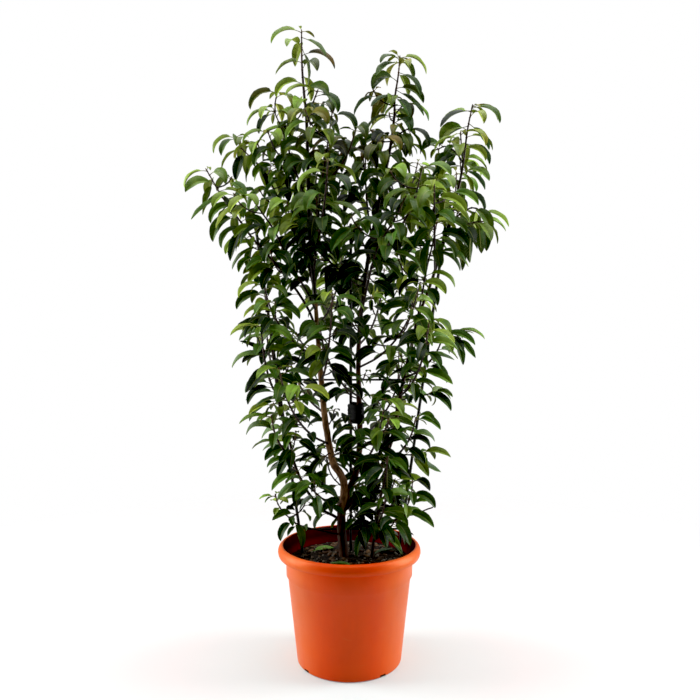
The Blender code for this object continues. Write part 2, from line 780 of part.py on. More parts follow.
def draw_leaf(name, index, stem, distance, turn_shift, fall_shift):
    """One leaf by its number from its stem's tip, turned and lowered from there by the shifts."""
    draw = random.Random(f"{name} {index}")
    start = stem.centre(distance)
    share = distance / stem.route.length
    along = stem.route.direction(distance)
    flat = along.cross(Vector((0.0, 1.0, 0.0))).normalized()
    other = along.cross(flat)
    away = stem.route.at(stem.route.length) * Vector((1.0, 1.0, 0.0))
    turn = math.atan2(away.dot(other), away.dot(flat)) + index * LEAF_TURN
    turn += math.radians(draw.uniform(-LEAF_SCATTER, LEAF_SCATTER) + turn_shift)
    out = flat * math.cos(turn) + other * math.sin(turn)
    opening = math.radians(draw.uniform(*LEAF_OPENING) - LEAF_OPENING_LESS_AT_TIP * share ** 4)
    first = along * math.cos(opening) + out * math.sin(opening)
    level = first + LEAF_OUTWARD * out
    heading = math.atan2(level.y, level.x)
    rise = between(math.asin(between(first.z, -1.0, 1.0)), *LEAF_RISE_LIMITS)
    flatness = between((LEAF_FLAT_HEIGHTS[1] - start.z)
                       / (LEAF_FLAT_HEIGHTS[1] - LEAF_FLAT_HEIGHTS[0]), 0.0, 1.0)
    fall = math.radians(draw.uniform(*LEAF_FALL) + LEAF_FLATTER * flatness - fall_shift)
    young = between(1.0 - (stem.route.length - distance) / YOUNG_LENGTH, 0.0, 1.0)
    size = draw.uniform(*LEAF_SIZE) * stem.leaf_size
    size *= (1.0 - YOUNG_LOSS * young) * (1.0 - LOW_LOSS * flatness)
    if distance < stem.bare + LOWEST_LENGTH:
        size *= LOWEST_SIZE
    sweep = math.radians(draw.uniform(-LEAF_SWEEP, LEAF_SWEEP))
    facing = LEAF_FACING[0] + (LEAF_FACING[1] - LEAF_FACING[0]) * flatness
    roll = math.radians(draw.uniform(-LEAF_ROLL, LEAF_ROLL) + facing * math.cos(heading))
    return Leaf(start, ROOT_SHARE * stem.radius(distance), heading, rise,
                max(fall, LEAF_STEEPEST), size, sweep, roll)


def leaf_seats(stem):
    """The number and distance of each leaf's place on a stem, from its tip, closer together there."""
    distances = []
    distance = stem.route.length - TIP_BUD
    while distance > stem.bare:
        distances.append(distance)
        crowding = TIP_CROWDING * CROWDING_FADE ** (len(distances) - 1)
        distance -= LEAF_STEP * math.sqrt(stem.leaf_size) * (1.0 - crowding)
    return list(enumerate(distances))


def place_leaves(name, stem, clearings):
    """The leaves of one stem that find a clear place, in order from its tip."""
    leaves = []
    for index, distance in leaf_seats(stem)[::LEAF_SKIP]:
        for turn_shift, fall_shift in LEAF_TRIES:
            leaf = draw_leaf(name, index, stem, distance, turn_shift, fall_shift)
            blade = leaf_solid(leaf, BLADE_START * leaf.petiole, LEAF_CLEARANCE)
            whole = leaf_solid(leaf, 0.0, LEAF_CLEARANCE)
            if clearings.is_clear(*whole, besides=name) and clearings.is_clear(*blade):
                clearings.add(*leaf_solid(leaf, 0.0))
                leaves.append(leaf)
                break
    return leaves


def side_route(parent, height, heading, length):
    """The route of a side shoot that leaves its parent low and then turns up."""
    heading = math.radians(heading)
    start = parent.centre(parent.route.distance_at_height(height))
    points = [start]
    step = length / (SIDE_POINTS - 1)
    for index in range(SIDE_POINTS - 1):
        share = index / (SIDE_POINTS - 2)
        rise = SIDE_RISE[0] + (SIDE_RISE[1] - SIDE_RISE[0]) * share
        points.append(points[-1] + step * Vector((
            math.cos(rise) * math.cos(heading), math.cos(rise) * math.sin(heading),
            math.sin(rise))))
    return Route(points)


def make_stems():
    """Every stem by name, and the name of the node and the parent that each belongs to."""
    stems = {}
    parents = {}
    for name, (points, base_radius, tip_radius) in WOODY_STEMS.items():
        stems[name] = Stem(Route(points), base_radius, tip_radius, WOODY_SIDES)
    for name, (parent, points, base_radius, bare) in SEEN_SHOOTS.items():
        sides = LEADER_SIDES if base_radius > LEADER_RADIUS else SHOOT_SIDES
        stems[name] = Stem(Route(points), base_radius, TIP_RADIUS, sides, bare,
                           SMALL_LEAVED.get(name, 1.0))
        parents[name] = parent
    for name, (parent, height, heading, length) in SIDE_SHOOTS.items():
        route = side_route(stems[parent], height, heading, length)
        stems[name] = Stem(route, SIDE_RADIUS, TIP_RADIUS, SHOOT_SIDES, SIDE_BARE)
        parents[name] = parent
    for name, (carrier, points) in TWIGS.items():
        stems[name] = Stem(Route(points), TWIG_RADIUS, TIP_RADIUS, SHOOT_SIDES, TWIG_BARE)
        parents[name] = carrier
    return stems, parents


def rod_point(name, height):
    """The middle of a trellis rod at a height."""
    foot, lean = RODS[name]
    return Vector((foot + lean * (height - ROD_SOIL_HEIGHT), TRELLIS_Y, height))


def make_trellis():
    """The rods and rungs by name, as straight stems."""
    bars = {}
    for name in RODS:
        ends = (rod_point(name, ROD_BOTTOM), rod_point(name, ROD_TOP))
        bars[name] = Stem(Route(ends), ROD_RADIUS, ROD_RADIUS, ROD_SIDES)
    behind = Vector((0.0, ROD_RADIUS + RUNG_RADIUS + GAP, 0.0))
    overhang = Vector((RUNG_OVERHANG, 0.0, 0.0))
    for name, height in RUNGS.items():
        ends = (rod_point("rod_left", height) + behind - overhang,
                rod_point("rod_right", height) + behind + overhang)
        bars[name] = Stem(Route(ends), RUNG_RADIUS, RUNG_RADIUS, ROD_SIDES)
    return bars


def tie_band(stems, rod, stem_name, height, width):
    """Corners and faces of a band that holds a stem to a rod."""
    stem = stems[stem_name]
    half_step = math.pi / (TIE_POINTS - 1) / 2
    corners = []
    for level in (height - width / 2, height + width / 2):
        distance = stem.route.distance_at_height(level)
        rod_middle = rod_point(rod, level)
        stem_middle = stem.route.at(distance)
        reach = stem_middle - rod_middle
        facing = math.atan2(reach.y, reach.x)
        for extra in (0.0, TIE_THICKNESS):
            for middle, radius, first in (
                    (rod_middle, ROD_RADIUS, facing + math.pi / 2),
                    (stem_middle, stem.radius(distance), facing - math.pi / 2)):
                outer = (radius + TIE_CLEARANCE) / math.cos(half_step) + extra
                for step in range(TIE_POINTS):
                    turn = first + 2 * half_step * step
                    corners.append(Vector((
                        middle.x + outer * math.cos(turn), middle.y + outer * math.sin(turn), level)))
    faces = []
    around = 2 * TIE_POINTS
    for index in range(around):
        after = (index + 1) % around
        for first, second in ((0, 1), (1, 3), (3, 2), (2, 0)):
            faces.append((first * around + index, first * around + after,
                          second * around + after, second * around + index))
    return corners, faces


def fallen_leaf(soil, x, y, heading):
    """A leaf that lies on the soil with its underside just above it."""
    leaf = Leaf(Vector((x, y, 0.0)), PETIOLE_WIDTH / 2, math.radians(heading), FALLEN_CURL,
                -FALLEN_CURL, FALLEN_BLADE / LEAF_BLADE, FALLEN_SWEEP, FALLEN_ROLL)
    corners, faces = leaf_solid(leaf, 0.0)
    ground = BVHTree.FromObject(soil, bpy.context.evaluated_depsgraph_get())
    drops = []
    for corner in corners:
        hit = ground.ray_cast(corner + Vector((0.0, 0.0, 1.0)), Vector((0.0, 0.0, -1.0)))[0]
        if hit:
            drops.append(corner.z - hit.z)
    lift = Vector((0.0, 0.0, GAP - min(drops)))
    return [corner + lift for corner in corners], faces


def build_woody(stems):
    """The trunk fused with its main stems."""
    trunk = make_object("trunk", *stems["trunk"].tube(), "bark")
    main_stems = [name for name in WOODY_STEMS if name != "trunk"]
    combine(trunk, "UNION", [make_object(name, *stems[name].tube()) for name in main_stems])
    make_round(trunk)
    return trunk


def node_of(name, parents):
    """The node that a stem belongs to."""
    if name in WOODY_STEMS:
        return "trunk"
    return parents[name] if name in TWIGS else name


def build_shoot(name, stems, parents, leaves):
    """One leafy shoot with its twigs, cut clear of its parent and fused with its leaves."""
    tube = make_object(name, *stems[name].tube(), "leaf")
    if parents[name]:
        carrier = node_of(parents[name], parents)
        cutters = [other for other in stems if node_of(other, parents) == carrier]
        combine(tube, "DIFFERENCE", [
            make_object(other + "_cutter", *stems[other].tube(GAP)) for other in cutters])
    pieces = []
    for twig in [twig for twig, (carrier, _) in TWIGS.items() if carrier == name]:
        pieces.append(make_object(twig, *stems[twig].tube()))
        pieces += [make_object("leaf", *leaf_solid(leaf, 0.0)) for leaf in leaves[twig]]
    pieces += [make_object("leaf", *leaf_solid(leaf, 0.0)) for leaf in leaves[name]]
    if pieces:
        combine(tube, "UNION", pieces)
    return tube


def main():
    """Build every piece."""
    for piece in list(bpy.data.objects):
        bpy.data.objects.remove(piece)

    stems, parents = make_stems()
    bars = make_trellis()
    pot = build_pot()
    sunk = [stems["trunk"].tube(GAP), stems["second_stem"].tube(GAP)]
    sunk += [bars[name].tube(GAP) for name in RODS]
    soil = build_soil([make_object("hole", *solid) for solid in sunk])

    clearings = Clearings()
    for piece in (pot, soil):
        corners = [vertex.co.copy() for vertex in piece.data.vertices]
        clearings.add(corners, [tuple(face.vertices) for face in piece.data.polygons])
    for name, bar in bars.items():
        solid = bar.tube()
        clearings.add(*solid)
        make_round(make_object(name, *solid, "trellis"))
    for name, (rod, stem_name, height, width) in TIES.items():
        solid = tie_band(stems, rod, stem_name, height, width)
        clearings.add(*solid)
        make_object(name, *solid, "tie")
    for name, (x, y, heading) in FALLEN_LEAVES.items():
        solid = fallen_leaf(soil, x, y, heading)
        clearings.add(*solid)
        make_object(name, *solid, "fallen")
    for name, stem in stems.items():
        clearings.add(*stem.tube(), name)

    build_woody(stems)
    leaves = {name: place_leaves(name, stem, clearings)
              for name, stem in stems.items() if stem.bare is not None}
    for name in [*SEEN_SHOOTS, *SIDE_SHOOTS]:
        build_shoot(name, stems, parents, leaves)


if __name__ == "__main__":
    main()
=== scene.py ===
"""The looks of the potted Portugal laurel: leaves, bark, soil, pot, trellis, light and camera.

Metres, +Z up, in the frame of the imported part. The origin is the middle of the pot's foot.
"""

import math
import random

import bmesh
import bpy
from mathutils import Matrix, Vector, noise
from mathutils.bvhtree import BVHTree
from mathutils.kdtree import KDTree


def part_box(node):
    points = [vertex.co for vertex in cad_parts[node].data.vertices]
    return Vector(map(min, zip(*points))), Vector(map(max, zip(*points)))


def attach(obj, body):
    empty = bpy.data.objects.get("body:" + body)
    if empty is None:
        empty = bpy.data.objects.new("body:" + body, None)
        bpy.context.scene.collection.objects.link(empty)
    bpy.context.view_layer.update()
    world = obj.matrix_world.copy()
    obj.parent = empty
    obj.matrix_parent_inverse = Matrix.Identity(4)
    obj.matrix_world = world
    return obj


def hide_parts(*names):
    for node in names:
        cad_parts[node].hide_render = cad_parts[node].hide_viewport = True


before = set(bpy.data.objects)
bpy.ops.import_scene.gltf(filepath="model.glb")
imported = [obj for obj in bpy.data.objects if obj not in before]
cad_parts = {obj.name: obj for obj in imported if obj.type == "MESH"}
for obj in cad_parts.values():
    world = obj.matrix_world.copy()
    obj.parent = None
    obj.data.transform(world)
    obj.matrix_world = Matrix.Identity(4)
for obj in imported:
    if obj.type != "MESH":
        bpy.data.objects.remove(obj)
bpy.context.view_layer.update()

# Camera, from the pot's rim and foot in the photo
CAMERA_PLACE = (0.0014, -1.278, 0.6055)
CAMERA_FOCAL_PIXELS = 647.0
IMAGE_PIXELS = 700.0
SENSOR_WIDTH = 36.0

# Pot
POT_HEIGHT = 0.225
POT_RIM_RADIUS = 0.140
POT_FOOT_RADIUS = 0.102
POT_WALL = 0.0028
POT_FLOOR = 0.003
POT_STEPS = 144
POT_MERGE = 1e-6
BEAD_HEIGHT = 0.021
BEAD_OUTLINE = ((0.0022, 0.0006), (0.0006, 0.0045), (0.0, 0.0095), (0.0018, 0.0160),
                (0.0058, 0.0202), (0.0085, 0.0210), (0.0115, 0.0188))
COLLAR_RADIUS = 0.1245
COLLAR_DRAFT = 0.001
COLLAR_BOTTOM = 0.1675
WALL_TOP_RADIUS = 0.1205
WALL_TOP = 0.165
FOOT_ROUNDING = 0.003
DRAIN_SLOTS = 4
DRAIN_TURN = math.radians(-52.0)
DRAIN_WIDTH = 0.014
DRAIN_DEPTH = 0.012
DRAIN_TOP = 0.005
DRAIN_INSET = 0.002
DRAIN_SILL = 0.0006

# Soil
GAP = 0.0003
SOIL_EDGE = 0.193
SOIL_MOUND = 0.199

# Trellis
TRELLIS_Y = 0.032
ROD_RADIUS = 0.003
ROD_BOTTOM = 0.080
ROD_TOP = 0.862
ROD_SOIL_HEIGHT = 0.195
RODS = {
    "rod_left": (-0.094, -0.145),
    "rod_middle": (0.003, 0.0),
    "rod_right": (0.0995, 0.1435),
}
RUNG_RADIUS = 0.002
RUNG_OVERHANG = 0.004
RUNGS = {"rung_low": 0.242, "rung_middle": 0.545, "rung_high": 0.818}

# Ties: the rod, the stem, the height above the floor, the width of the band and its turns
TIES = {
    "tie_left_low": ("rod_left", "shoot_low_left", 0.490, 0.003, 2),
    "tie_left_high": ("rod_left", "shoot_low_left", 0.684, 0.003, 2),
    "tie_middle": ("rod_middle", "stem_middle", 0.478, 0.042, 6),
}

# Woody stems of the trunk's own node: radius at the start and at the end, route in millimetres
WOODY_STEMS = {
    "trunk": (0.0105, 0.0085, (
        (-11, 0, 130), (-11, 0, 195), (-15, -2, 250), (-16, -1, 305))),
    "stem_left": (0.0080, 0.0042, (
        (-15, -1, 280), (-10, -3, 335), (-17, -5, 361), (-30, -6, 380), (-37, -5, 405), (-42, -3, 432),
        (-48, 0, 470), (-54, 3, 530), (-60, 5, 600), (-67, 5, 700))),
    "stem_middle": (0.0070, 0.0040, (
        (-13, 0, 292), (-2, 4, 325), (13, 9, 361), (20, 12, 408), (21, 14, 460), (19, 15, 520),
        (18, 15, 582), (20, 14, 640), (26, 12, 700))),
    "stem_right": (0.0050, 0.0031, (
        (-12, 0, 288), (8, -3, 309), (36, -4, 330), (60, -4, 368), (82, -2, 424), (94, 0, 474),
        (107, 6, 545), (128, 12, 629), (135, 14, 663), (160, 16, 730))),
}

# Leafy shoots seen in the photo: parent, radius and bare length at the start, route in millimetres
SEEN_SHOOTS = {
    "leader_left": ("stem_left", 0.0040, 0.03, (
        (-67, 5, 697), (-75, 3, 800), (-80, 0, 900), (-84, -5, 1058), (-88, -5, 1099), (-93, -5, 1164),
        (-94, -4, 1232))),
    "leader_middle": ("stem_middle", 0.0038, 0.03, (
        (26, 12, 697), (38, 14, 790), (55, 16, 880), (80, 18, 1000), (90, 18, 1071), (91, 18, 1108),
        (98, 17, 1155), (101, 16, 1190))),
    "leader_right": ("stem_right", 0.0029, 0.03, (
        (159, 16, 727), (168, 14, 754), (181, 10, 797), (205, 5, 880), (222, 2, 955), (233, -2, 1038),
        (242, -4, 1085))),
    "shoot_low_left": ("trunk", 0.0026, 0.1, (
        (-16, -2, 270), (-34, -4, 281), (-53, -1, 291), (-86, 10, 328), (-110, 16, 379),
        (-119, 18, 420), (-139, 19, 490), (-154, 18, 602), (-161, 17, 665), (-171, 14, 740),
        (-180, 10, 815))),
    "shoot_left_inner": ("leader_left", 0.0022, 0.03, (
        (-71, 3, 755), (-64, -10, 815), (-60, -17, 872), (-55, -21, 921), (-44, -23, 991),
        (-33, -22, 1068))),
    "shoot_upper_left": ("leader_left", 0.0022, 0.05, (
        (-70, 4, 728), (-85, 15, 785), (-112, 26, 850), (-150, 33, 925), (-172, 36, 968),
        (-199, 38, 996), (-220, 38, 1016))),
    "shoot_far_left": ("stem_left", 0.0022, 0.06, (
        (-63, 5, 640), (-82, -5, 688), (-116, -14, 740), (-160, -22, 792), (-186, -26, 820),
        (-209, -28, 852), (-242, -30, 896), (-275, -30, 952))),
    "shoot_front_left": ("stem_left", 0.0020, 0.06, (
        (-66, 5, 684), (-84, -22, 722), (-112, -41, 768), (-139, -54, 826), (-160, -60, 858),
        (-183, -63, 890))),
    "shoot_front_middle": ("stem_middle", 0.0022, 0.06, (
        (21, 14, 655), (29, -15, 702), (41, -45, 757), (52, -62, 795), (66, -73, 820), (85, -80, 850),
        (105, -84, 890))),
    "shoot_right_inner": ("stem_right", 0.0018, 0.05, (
        (136, 14, 668), (142, -12, 712), (150, -27, 765), (160, -34, 808), (168, -36, 850))),
    "shoot_far_right": ("leader_right", 0.0016, 0.02, (
        (194, 7, 842), (211, -3, 867), (233, -9, 882), (247, -13, 883), (257, -16, 874))),
    "shoot_top_left": ("leader_left", 0.0018, 0.04, (
        (-79, 1, 872), (-94, 9, 925), (-115, 14, 985), (-130, 16, 1034), (-150, 16, 1082))),
    "shoot_middle_back": ("leader_middle", 0.0018, 0.04, (
        (45, 15, 830), (37, 32, 892), (33, 40, 955), (33, 42, 1018))),
    "twig_low_left": ("trunk", 0.0012, 0.075, (
        (-13, -1, 240), (-50, -18, 253), (-96, -31, 268), (-122, -36, 290), (-136, -38, 309),
        (-141, -39, 326))),
    "twig_low_right": ("trunk", 0.0016, 0.03, (
        (-13, -1, 255), (26, -20, 262), (72, -32, 270), (96, -35, 284), (110, -35, 302),
        (116, -34, 326))),
    "twig_straight_left": ("trunk", 0.0015, 0.04, (
        (-16, -2, 282), (-34, -17, 300), (-60, -27, 325), (-88, -34, 352), (-100, -37, 370))),
    "second_stem": (None, 0.0030, 0.1, (
        (44, -10, 140), (45, -11, 210), (56, -18, 287), (62, -22, 325), (71, -28, 368), (76, -34, 420),
        (74, -40, 465))),
}

# Twigs fused to the shoot that carries them: the shoot and the route in millimetres
TWIGS = {
    "twig_left_tip": ("leader_left", (
        (-84, -5, 1045), (-74, -16, 1078), (-62, -21, 1108))),
    "twig_right_tip": ("leader_right", (
        (225, 1, 975), (213, 12, 999), (194, 17, 1013), (178, 18, 1008))),
    "twig_middle_tip": ("leader_middle", (
        (82, 18, 1012), (95, 10, 1032), (116, 5, 1044))),
    "twig_middle_top": ("leader_middle", (
        (90, 18, 1075), (102, 26, 1092), (113, 30, 1106))),
    "twig_top_left": ("shoot_top_left", (
        (-104, 11, 955), (-124, 2, 975), (-146, -4, 1000), (-160, -6, 1034))),
    "twig_low_front": ("twig_low_right", (
        (50, -27, 266.5), (58, -44, 281), (64, -58, 303), (68, -66, 330))),
    "twig_second_low": ("second_stem", (
        (47.5, -12.5, 232), (66, -24, 249), (86, -18, 268), (98, -10, 292))),
    "twig_second_back": ("second_stem", (
        (54, -16, 272), (64, 0, 292), (80, 8, 318), (90, 8, 346))),
}
TWIG_RADIUS = 0.0014
TWIG_BARE = 0.012

# Shoots whose leaves are small, with the leaves' size
SMALL_LEAVED = {"twig_low_left": 0.48}

# Side shoots that fill the bush: parent, height of the fork, heading from +X towards +Y, length
SIDE_SHOOTS = {
    "side_left_1": ("stem_left", 0.420, 232.0, 0.215),
    "side_left_2": ("stem_left", 0.480, 128.0, 0.225),
    "side_left_3": ("stem_left", 0.545, 280.0, 0.225),
    "side_left_4": ("stem_left", 0.590, 218.0, 0.195),
    "side_left_5": ("stem_left", 0.655, 72.0, 0.235),
    "side_middle_1": ("stem_middle", 0.375, 292.0, 0.200),
    "side_middle_2": ("stem_middle", 0.430, 48.0, 0.215),
    "side_middle_3": ("stem_middle", 0.512, 236.0, 0.205),
    "side_middle_4": ("stem_middle", 0.570, 320.0, 0.225),
    "side_middle_5": ("stem_middle", 0.615, 68.0, 0.240),
    "side_right_1": ("stem_right", 0.385, 312.0, 0.130),
    "side_right_2": ("stem_right", 0.450, 82.0, 0.215),
    "side_right_3": ("stem_right", 0.515, 288.0, 0.205),
    "side_right_4": ("stem_right", 0.550, 335.0, 0.125),
    "side_right_5": ("stem_right", 0.680, 102.0, 0.225),
    "side_low_1": ("shoot_low_left", 0.395, 245.0, 0.120),
    "side_low_2": ("shoot_low_left", 0.515, 262.0, 0.190),
    "side_low_3": ("shoot_low_left", 0.590, 140.0, 0.080),
    "side_low_4": ("shoot_low_left", 0.555, 108.0, 0.150),
    "side_high_1": ("leader_left", 0.790, 285.0, 0.215),
    "side_high_2": ("leader_left", 0.830, 92.0, 0.215),
    "side_high_3": ("leader_left", 0.915, 335.0, 0.155),
    "side_high_4": ("leader_middle", 0.740, 196.0, 0.215),
    "side_high_5": ("leader_middle", 0.785, 312.0, 0.220),
    "side_high_6": ("leader_middle", 0.870, 42.0, 0.190),
    "side_high_7": ("leader_right", 0.765, 262.0, 0.205),
    "side_high_8": ("leader_right", 0.868, 75.0, 0.165),
}
LEAFY_NODES = [*SEEN_SHOOTS, *SIDE_SHOOTS, "trunk"]
SIDE_RADIUS = 0.0019
SIDE_BARE = 0.054
SIDE_RISE = (math.radians(24.0), math.radians(70.0))
SIDE_POINTS = 5

TIP_RADIUS = 0.0009
TIP_BUD = 0.002
WOODY_SIDES = 7
LEADER_SIDES = 4
LEADER_RADIUS = 0.0025
SHOOT_SIDES = 3
BEND_TOLERANCE = 0.0006
CURVE_STEPS = 12
DIRECTION_REACH = 0.004

# Leaves
LEAF_STEP = 0.0149
TIP_CROWDING = 0.40
CROWDING_FADE = 0.65
LEAF_SKIP = 2
LEAF_TURN = math.radians(137.5)
LEAF_BLADE = 0.064
LEAF_WIDTH = 0.0245
LEAF_PETIOLE = 0.012
LEAF_THICKNESS = 0.0015
PETIOLE_WIDTH = 0.0016
PETIOLE_FLATNESS = 0.6
BLADE_START = 0.9
ROOT_SHARE = 0.4
LEAF_FOLD = math.radians(22.0)
LEAF_CLEARANCE = 0.0008
LEAF_LINE_STEPS = 16
BLADE_SECTIONS = ((0.36, 1.0), (0.72, 0.70))
LEAF_SCATTER = 14.0
LEAF_OPENING = (48.0, 68.0)
LEAF_CLOSING = 12.0
LEAF_CLOSING_POWER = 4
LEAF_OUTWARD = 0.6
LEAF_RISE_LIMITS = (math.radians(-15.0), math.radians(32.0))
LEAF_FALL = (-96.0, -58.0)
LEAF_FLATTER = 26.0
LEAF_FLAT_HEIGHTS = (0.45, 0.90)
LEAF_STEEPEST = math.radians(-100.0)
LEAF_SIZE = (0.86, 1.10)
LEAF_SWEEP = 16.0
LEAF_ROLL = 22.0
LEAF_FACING = (42.0, 24.0)
YOUNG_LENGTH = 0.055
YOUNG_LOSS = 0.10
LOW_LOSS = 0.14
LOWEST_LENGTH = 0.03
LOWEST_SIZE = 0.88
LEAF_TRIES = (
    (0, 0), (22, 0), (-22, 0), (0, 18), (40, 0), (-40, 0), (24, -22), (-24, -22), (60, 10),
    (-60, 10), (85, 0), (-85, 0), (115, -10), (-115, -10), (150, 0), (-150, 0),
)

# Fallen leaves on the soil: place, heading and tone
FALLEN_LEAVES = {
    "fallen_leaf_left": (-0.080, 0.030, 20.0, 1.0),
    "fallen_leaf_right": (0.102, 0.040, 195.0, 0.0),
    "fallen_leaf_front": (0.012, -0.062, 160.0, 0.5),
}
FALLEN_BLADE = 0.046
FALLEN_CURL = math.radians(9.0)
FALLEN_SWEEP = math.radians(17.0)
FALLEN_ROLL = math.radians(6.0)
FALLEN_PHASE = 0.3

# Fine leaves: rings along the stalk and blade, and corners across the blade
LEAF_FACE, LEAF_BACK, STALK, BARK = range(4)
BLADE_WIDEST = 0.43
BLADE_BASE_POWER = 0.62
BLADE_TIP_POWER = 0.82
BLADE_OPENING = 0.10
BLADE_RINGS = (0.0, 0.035, 0.09, 0.17, 0.27, 0.38, 0.50, 0.61, 0.71, 0.80, 0.88, 0.945)
STALK_RINGS = (0.0, 0.25, 0.6)
ACROSS = (-1.0, -0.7, -0.35, 0.0, 0.35, 0.7, 1.0)
MIDRIB_DEPTH = 0.0005
MIDRIB_TAPER = 0.7
LEAF_SKIN = 0.00018
LEAF_GROOVE = 0.0001
LEAF_RECURVE = 0.28
LEAF_WAVE = 0.05
LEAF_WAVES = 2.6
WAVE_LAG = 1.3
STALK_RADIUS = 0.00065
STALK_FOOT = 0.0011
STALK_FOOT_LENGTH = 0.004
TIP_MATCH = 0.0002
CELL = 0.08
VEIN_COUNT = 11.0
VEIN_SLANT = 1.6
VEIN_WIDTH = 0.34

# The middle range of a cloudy number
MOTTLE = (0.3, 0.7)

# Small young leaves round each tip
TUFT_LEAVES = 3
TUFT_OPENING = (58.0, 84.0)
TUFT_BEND = (60.0, 100.0)
TUFT_SIZE = (0.28, 0.46)
TUFT_SLENDERNESS = 0.36
TUFT_PHASE = 0.5

# Leaf colours: tone rises towards a stem's tip, and bronze shows high up. The tone also holds
# painted light and shade: lighter towards the bush's outside and top, darker in its middle
TONE_MIDDLE = 0.155
TONE_SPREAD = 0.20
TONE_YOUTH = 0.30
PAINTED_OUTER_LIGHT = 0.50
FRONT_EXPOSED = 0.6
PAINTED_TOP_LIGHT = 0.26
PAINTED_TOP_LIGHT_HEIGHTS = (0.35, 1.05)
BLUSH_SELDOM = 0.7
BLUSH_HEIGHTS = (0.90, 1.05)
YOUTH_LENGTH = 0.05

# Fine stems
STEM_SIDES = 10
STEM_RING_STEP = 0.007
KNOT_LENGTH = 0.0016
KNOT_RISE = 0.0006
BARK_SKIN = 0.0003
STEM_FULLNESS = 2.2
TIP_BUD_OUTLINE = ((0.0010, 0.0013), (0.0028, 0.0012), (0.0045, 0.0006), (0.0052, 0.0001))
SHARP_ANGLE = math.radians(55.0)

# Short twigs between the shoots
FILL_RADIUS = 0.0011
FILL_BARE = 0.014
FILL_LENGTH = (0.06, 0.13)
FILL_SHORTER_AT_TIP = 0.5
FILL_SHORTEST = 0.03
FILL_RISE = (math.radians(8.0), math.radians(58.0))
FILL_SPACINGS = ((0.33, 0.016), (0.60, 0.045), (0.95, 0.036), (1.30, 0.022))
FILL_PARENT_LENGTH = 0.085
FILL_SPREAD = (0.7, 1.3)
FILL_TURN = 0.5
FEWEST_LEAVES = 2
WOODY_BARE = 0.06
WOODY_TWIG_LENGTH = (0.035, 0.075)

# Thin twigs that the photo shows: the stem that carries each, its bare length, its route in
# millimetres
SEEN_TWIGS = {
    "twig_bare_right": ("twig_low_right", 0.1, (
        (98, -35, 286), (125, -36, 290), (150, -36, 300), (163, -36, 305), (160, -36, 314))),
    "twig_lower_right": ("twig_low_right", 0.015, (
        (110, -35, 302), (119, -37, 328), (121, -37, 353))),
    "twig_right_low": ("stem_right", 0.02, (
        (73, -3, 400), (95, -14, 402), (115, -22, 402), (135, -28, 404), (142, -30, 407))),
    "twig_right_middle": ("stem_right", 0.02, (
        (100, 3, 505), (118, -10, 512), (135, -18, 515), (150, -24, 519), (162, -28, 523))),
    "twig_right_far": ("stem_right", 0.03, (
        (132, 13, 648), (155, 4, 640), (180, -4, 636), (203, -8, 637), (213, -9, 634))),
    "twig_right_hanging": ("leader_right", 0.02, (
        (191, 8, 828), (212, -8, 842), (228, -18, 850), (245, -26, 853), (264, -34, 853))),
    "twig_fork_left": ("stem_left", 0.012, (
        (-34, -6, 395), (-46, 10, 392), (-60, 22, 396), (-72, 28, 410))),
    "twig_fork_front": ("stem_left", 0.012, (
        (-36, -5, 401), (-40, -18, 404), (-46, -28, 400))),
    "twig_fork_right": ("stem_left", 0.012, (
        (-34, -6, 393), (-26, -20, 403), (-14, -30, 409))),
    "twig_middle_low": ("stem_middle", 0.012, (
        (0, 5, 330), (6, -12, 335), (14, -22, 344))),
    "twig_back_right": ("stem_right", 0.012, (
        (38, -4, 332), (54, 22, 338), (68, 46, 350), (78, 60, 372))),
    "twig_fork_low": ("stem_left", 0.006, (
        (-10, -2, 333), (-22, 12, 340), (-34, 18, 352), (-42, 20, 370), (-45, 18, 388))),
    "twig_top_end": ("shoot_top_left", 0.004, (
        (-148, 16, 1078), (-148, 13, 1098), (-143, 10, 1118))),
    "twig_left_end": ("shoot_upper_left", 0.004, (
        (-213, 38, 1009), (-223, 37, 1022), (-230, 35, 1037))),
    "twig_back_low": ("trunk", 0.03, (
        (-12, 0, 262), (18, 20, 272), (46, 48, 288), (68, 64, 312))),
}
